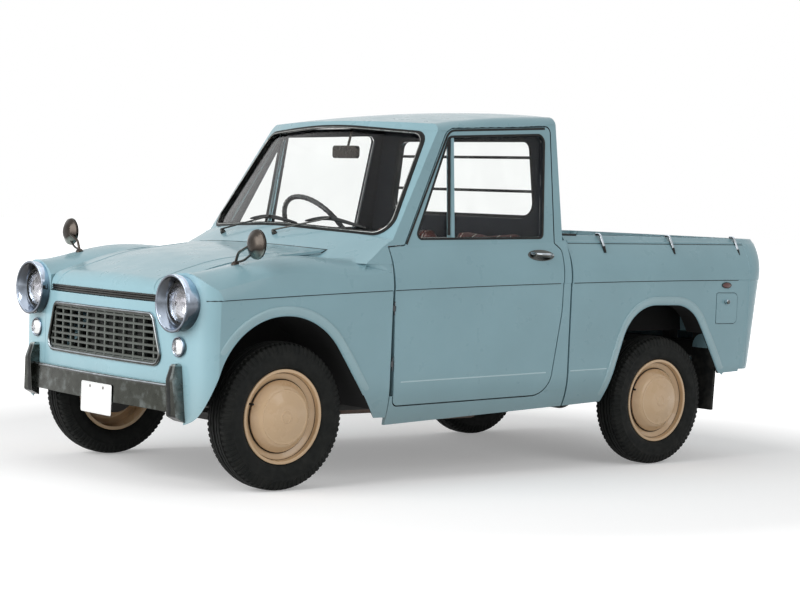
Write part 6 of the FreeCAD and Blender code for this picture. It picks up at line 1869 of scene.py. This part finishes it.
# ---- Load bed and tail --------------------------------------------------------------------------
@dataclass
class LoadBed:
    """Ribs in the load floor, rims on the tail lamps, and pressed frames and drop handles on the gate."""

    floor_z: float = 0.560
    floor_y: tuple[float, float] = (0.345, 1.385)
    rib_count: int = 9
    rib_half: float = 0.016
    rib_height: float = 0.007
    rib_pitch: float = 0.095
    lamp_middle: tuple[float, float] = (0.535, 0.700)
    lamp_half: tuple[float, float] = (0.0285, 0.0615)
    lamp_screws_z: tuple[float, float] = (0.652, 0.748)
    frame_middle: tuple[float, float] = (0.245, 0.745)
    frame_half: tuple[float, float] = (0.205, 0.095)
    handle_place: tuple[float, float] = (0.44, 0.885)

    def floor_ribs(self) -> None:
        """Long pressed ribs between the wheel boxes."""
        ribs = Shape()
        section = [(-self.rib_half, -0.001), (-self.rib_half * 0.7, self.rib_height * 0.8),
                   (-self.rib_half * 0.4, self.rib_height),
                   (self.rib_half * 0.4, self.rib_height), (self.rib_half * 0.7, self.rib_height * 0.8),
                   (self.rib_half, -0.001)]
        for i in range(self.rib_count):
            x = (i - (self.rib_count - 1) / 2) * self.rib_pitch
            path = [Vector((x, y, self.floor_z)) for y in steps(*self.floor_y, 12)]
            ribs.sweep(path, [Vector((0, 0, 1))] * len(path), section)
        ribs.piece("load_floor_ribs", Body.SHELL, BED_ENAMEL, Slot.BODY)

    def lamp_rims(self) -> None:
        """A bright rim and two screws on each tail lamp."""
        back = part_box("rear_lamps")[1].y
        middle_x, middle_z = self.lamp_middle
        rim = Shape()
        path = [Vector((middle_x + a, back - 0.004, middle_z + b))
                for a, b in rounded_rectangle(*self.lamp_half, 0.0250, 8)]
        rim.tube(path, 0.0028, 8, loop=True)
        for z in self.lamp_screws_z:
            rim.lathe([(-0.001, 0.0042), (0.0012, 0.0040), (0.0020, 0.0028), (0.0021, 0.0001)], (middle_x, back, z),
                      (0, 1, 0), 14)
        rim.joined(rim.mirrored()).piece("tail_lamp_rims", Body.SHELL, DULL_CHROME, Slot.BRIGHT)

    def gate_fittings(self) -> None:
        """A drop handle at each end of the gate, and two pressed frames in its outer face."""
        skin = Skin("tailgate")
        frames = Shape()
        frame_x, frame_z = self.frame_middle
        for middle in (-frame_x, frame_x):
            hits = [skin.rear(middle + a, frame_z + b) for a, b in rounded_rectangle(*self.frame_half, 0.03, 6)]
            found = [hit for hit in hits if hit]
            section = [(-0.006, -0.001), (-0.003, 0.0022), (0.003, 0.0022), (0.006, -0.001)]
            frames.sweep([p for p, _ in found], [n for _, n in found], section, loop=True)
        frames.piece("tailgate_swages", Body.TAILGATE, TRIM_ENAMEL, Slot.BODY, angle=60)
        handles = Shape()
        handle_x, handle_z = self.handle_place
        for x in (-handle_x, handle_x):
            hit = skin.rear(x, handle_z)
            if hit is None:
                continue
            place, normal = hit
            handles.lathe([(-0.001, 0.013), (0.003, 0.0125), (0.005, 0.008), (0.012, 0.007), (0.012, 0.0001)],
                          tuple(place), tuple(normal), 24)
            start = place + normal * 0.010
            handles.tube([start + Vector((-0.012, 0, 0)), start + Vector((0.022, 0, 0)),
                          start + Vector((0.030, 0, -0.006))], 0.0045, 10)
        handles.piece("tailgate_handles", Body.TAILGATE, DULL_CHROME, Slot.BRIGHT)

    def build(self) -> None:
        """Makes every piece of the load bed."""
        self.floor_ribs()
        self.lamp_rims()
        self.gate_fittings()


# ---- Below and under the bonnet -----------------------------------------------------------------
@dataclass
class Machinery:
    """Dress for the plain engine block, seen when the bonnet is up."""

    cover_half: float = 0.052
    cover_ends: tuple[float, float] = (-1.256, -0.984)
    cover_rise: float = 0.034
    drum: Point = (0.160, -1.130, 0.640)
    drum_radius: float = 0.058

    def rocker_cover(self) -> None:
        """A ribbed cover along the top of the engine, with a filler cap."""
        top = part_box("engine")[1].z
        outline = ((-1, 0), (-0.98, 0.6), (-0.8, 0.95), (-0.4, 1), (0.4, 1), (0.8, 0.95), (0.98, 0.6), (1, 0))
        rows = []
        for i, y in enumerate(steps(*self.cover_ends, 29)):
            rise = self.cover_rise + 0.003 * (i % 4 < 2)
            rows.append([Vector((self.cover_half * a, y, top - 0.002 + rise * b)) for a, b in outline])
        cover = Shape().grid(rows, around=True, ends=True)
        cover.lathe([(-0.004, 0.019), (0.008, 0.019), (0.010, 0.022), (0.020, 0.022), (0.023, 0.018), (0.0235, 0.0001)],
                    (0, self.cover_ends[0] + 0.045, top + self.cover_rise), (0, 0, 1), 24)
        cover.piece("rocker_cover", Body.SHELL, STEEL, Slot.IRON)

    def air_cleaner(self) -> None:
        """A drum air cleaner with a rolled lid, a wing nut and a spout that points forward."""
        x, y, top = self.drum
        radius = self.drum_radius
        drum = Shape().lathe([(-0.002, radius * 0.55), (0.006, radius * 0.60), (0.009, radius * 0.94),
                              (0.036, radius * 0.94),
                              (0.038, radius), (0.043, radius), (0.046, radius * 0.92), (0.051, radius * 0.30),
                              (0.050, radius * 0.16), (0.050, 0.0001)], (x, y, top), (0, 0, 1), 48)
        drum.lathe([(0.049, 0.006), (0.060, 0.005), (0.061, 0.0001)], (x, y, top), (0, 0, 1), 12)
        drum.tube(smooth_line([Vector((x + 0.02, y - radius * 0.8, top + 0.022)),
                               Vector((x + 0.03, y - radius * 1.3, top + 0.022)),
                               Vector((x + 0.05, y - radius * 1.75, top + 0.018))], 6), 0.0165, 20)
        drum.piece("air_cleaner", Body.SHELL, CHASSIS_ENAMEL, Slot.IRON)

    def build(self) -> None:
        """Makes every piece of the machinery."""
        self.rocker_cover()
        self.air_cleaner()


# ---- Studio -------------------------------------------------------------------------------------
@dataclass
class Studio:
    """Pale floor, soft lamps, white surroundings and the camera."""

    camera_place: Point = (6.3375, -5.3547, 1.0332)
    azimuth: float = 50.65
    elevation: float = 2.70
    roll: float = 2.29
    lens: float = 90.61
    shift: tuple[float, float] = (0.02625, 0.0004)
    world_strength: float = 0.36
    floor_glow: float = 0.25
    lamps: tuple[tuple[str, Point, Point, float, float], ...] = (
        ("front_lamp", (0.2, -6.4, 2.7), (0.0, -1.0, 0.6), 4.6, 350.0),
        ("side_lamp", (6.5, 0.8, 3.4), (0.4, 0.3, 0.6), 4.0, 100.0),
        ("top_lamp", (0.0, 0.3, 5.5), (0.0, 0.2, 0.8), 4.5, 30.0),
    )

    def seen_rays(self, tree: bpy.types.NodeTree) -> bpy.types.NodeSocket:
        """One for the rays that show the background: straight, reflected or through glass."""
        path = tree.nodes.new("ShaderNodeLightPath")
        seen = path.outputs["Is Camera Ray"]
        for name in ("Is Glossy Ray", "Is Transmission Ray"):
            more = tree.nodes.new("ShaderNodeMath")
            more.operation = "MAXIMUM"
            tree.links.new(seen, more.inputs[0])
            tree.links.new(path.outputs[name], more.inputs[1])
            seen = more.outputs[0]
        return seen

    def world(self) -> None:
        """White to the camera and in reflections, softer as light."""
        world = bpy.data.worlds.new("surroundings")
        bpy.context.scene.world = world
        world.use_nodes = True
        tree = world.node_tree
        shader = tree.nodes["Background"]
        shader.inputs["Color"].default_value = (1.0, 1.0, 1.0, 1.0)
        spread = tree.nodes.new("ShaderNodeMapRange")
        spread.inputs["To Min"].default_value = self.world_strength
        spread.inputs["To Max"].default_value = 1.0
        tree.links.new(self.seen_rays(tree), spread.inputs["Value"])
        tree.links.new(spread.outputs["Result"], shader.inputs["Strength"])

    def floor(self) -> None:
        """A wide pale floor that keeps the shadow near the vehicle and turns white further out."""
        mesh = bpy.data.meshes.new("floor")
        size = 60.0
        mesh.from_pydata([(-size, -size, 0), (size, -size, 0), (size, size, 0), (-size, size, 0)], [], [(0, 1, 2, 3)])
        floor = bpy.data.objects.new("floor", mesh)
        bpy.context.scene.collection.objects.link(floor)
        sheet = NodeSheet("floor_paint")
        sheet.feed("Base Color", sheet.ramp(sheet.noise(0.6), [(0.3, (0.84, 0.84, 0.84)), (0.7, (0.86, 0.86, 0.86))]))
        sheet.constants(Roughness=0.9, Specular_IOR_Level=0.1)
        across = sheet.sum_of("POWER", sheet.part("X"), 2.0)
        along = sheet.sum_of("POWER", sheet.part("Y"), 2.0)
        far = sheet.level(sheet.sum_of("SQRT", sheet.sum_of("ADD", across, along)), self.floor_glow, 1.0, 1.9, 3.6)
        seen = self.seen_rays(sheet.tree)
        glow = sheet.tree.nodes.new("ShaderNodeEmission")
        glow.inputs["Color"].default_value = (1.0, 1.0, 1.0, 1.0)
        sheet.tree.links.new(sheet.product(far, seen), glow.inputs["Strength"])
        both = sheet.tree.nodes.new("ShaderNodeAddShader")
        sheet.tree.links.new(sheet.shader.outputs[0], both.inputs[0])
        sheet.tree.links.new(glow.outputs[0], both.inputs[1])
        sheet.tree.links.new(both.outputs[0], sheet.tree.nodes["Material Output"].inputs["Surface"])
        mesh.materials.append(sheet.material)

    def lights(self) -> None:
        """Large soft lamps, each aimed at a place on the vehicle."""
        for name, place, aim, size, power in self.lamps:
            data = bpy.data.lights.new(name, "AREA")
            data.shape = "SQUARE"
            data.size = size
            data.energy = power
            lamp = bpy.data.objects.new(name, data)
            lamp.location = place
            lamp.rotation_mode = "QUATERNION"
            lamp.rotation_quaternion = (Vector(aim) - Vector(place)).to_track_quat("-Z", "Y")
            bpy.context.scene.collection.objects.link(lamp)

    def camera(self) -> None:
        """The camera, a little rolled, with its small shift."""
        turn, tilt, roll = (math.radians(a) for a in (self.azimuth, self.elevation, self.roll))
        back = Vector((math.sin(turn) * math.cos(tilt), -math.cos(turn) * math.cos(tilt), math.sin(tilt)))
        right = Vector((math.cos(turn), math.sin(turn), 0.0))
        up = back.cross(right)
        level_right = right * math.cos(roll) + up * math.sin(roll)
        level_up = up * math.cos(roll) - right * math.sin(roll)
        data = bpy.data.cameras.new("camera")
        data.sensor_width = 36.0
        data.lens = self.lens
        data.shift_x, data.shift_y = self.shift
        camera = bpy.data.objects.new("camera", data)
        matrix = Matrix((level_right, level_up, back)).transposed().to_4x4()
        matrix.translation = Vector(self.camera_place)
        camera.matrix_world = matrix
        bpy.context.scene.collection.objects.link(camera)
        bpy.context.scene.camera = camera

    def build(self) -> None:
        """Makes the studio."""
        self.world()
        self.floor()
        self.lights()
        self.camera()
        bpy.context.scene.view_settings.view_transform = "Standard"


def dress_nodes(nodes: dict[str, bpy.types.Object]) -> None:
    """Gives every carried node its finish."""
    for name, thing in nodes.items():
        finish = NODE_FINISHES[name]
        thing.data.materials.clear()
        thing.data.materials.append(finish.material())
        LOG.info("%s wears %s", name, finish.name)


def corners(bounds: tuple[Vector, Vector]) -> list[list[float]]:
    """A box as plain numbers."""
    return [[round(value, 6) for value in corner] for corner in bounds]


def main() -> None:
    """Builds the studio and every sub-assembly."""
    logging.basicConfig(level=logging.INFO, format="%(name)s: %(message)s")
    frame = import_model()
    Studio().build()
    dress_nodes(frame["nodes"])
    wheels = (
        RoadWheel(Body.FRONT_LEFT_WHEEL, Side.LEFT, FRONT_AXLE_Y),
        RoadWheel(Body.FRONT_RIGHT_WHEEL, Side.RIGHT, FRONT_AXLE_Y),
        RoadWheel(Body.REAR_LEFT_WHEEL, Side.LEFT, REAR_AXLE_Y),
        RoadWheel(Body.REAR_RIGHT_WHEEL, Side.RIGHT, REAR_AXLE_Y),
    )
    for assembly in (*wheels, FrontTrim(), BodyTrim(), Cab(), LoadBed(), Machinery()):
        assembly.build()


if __name__ == "__main__":
    main()
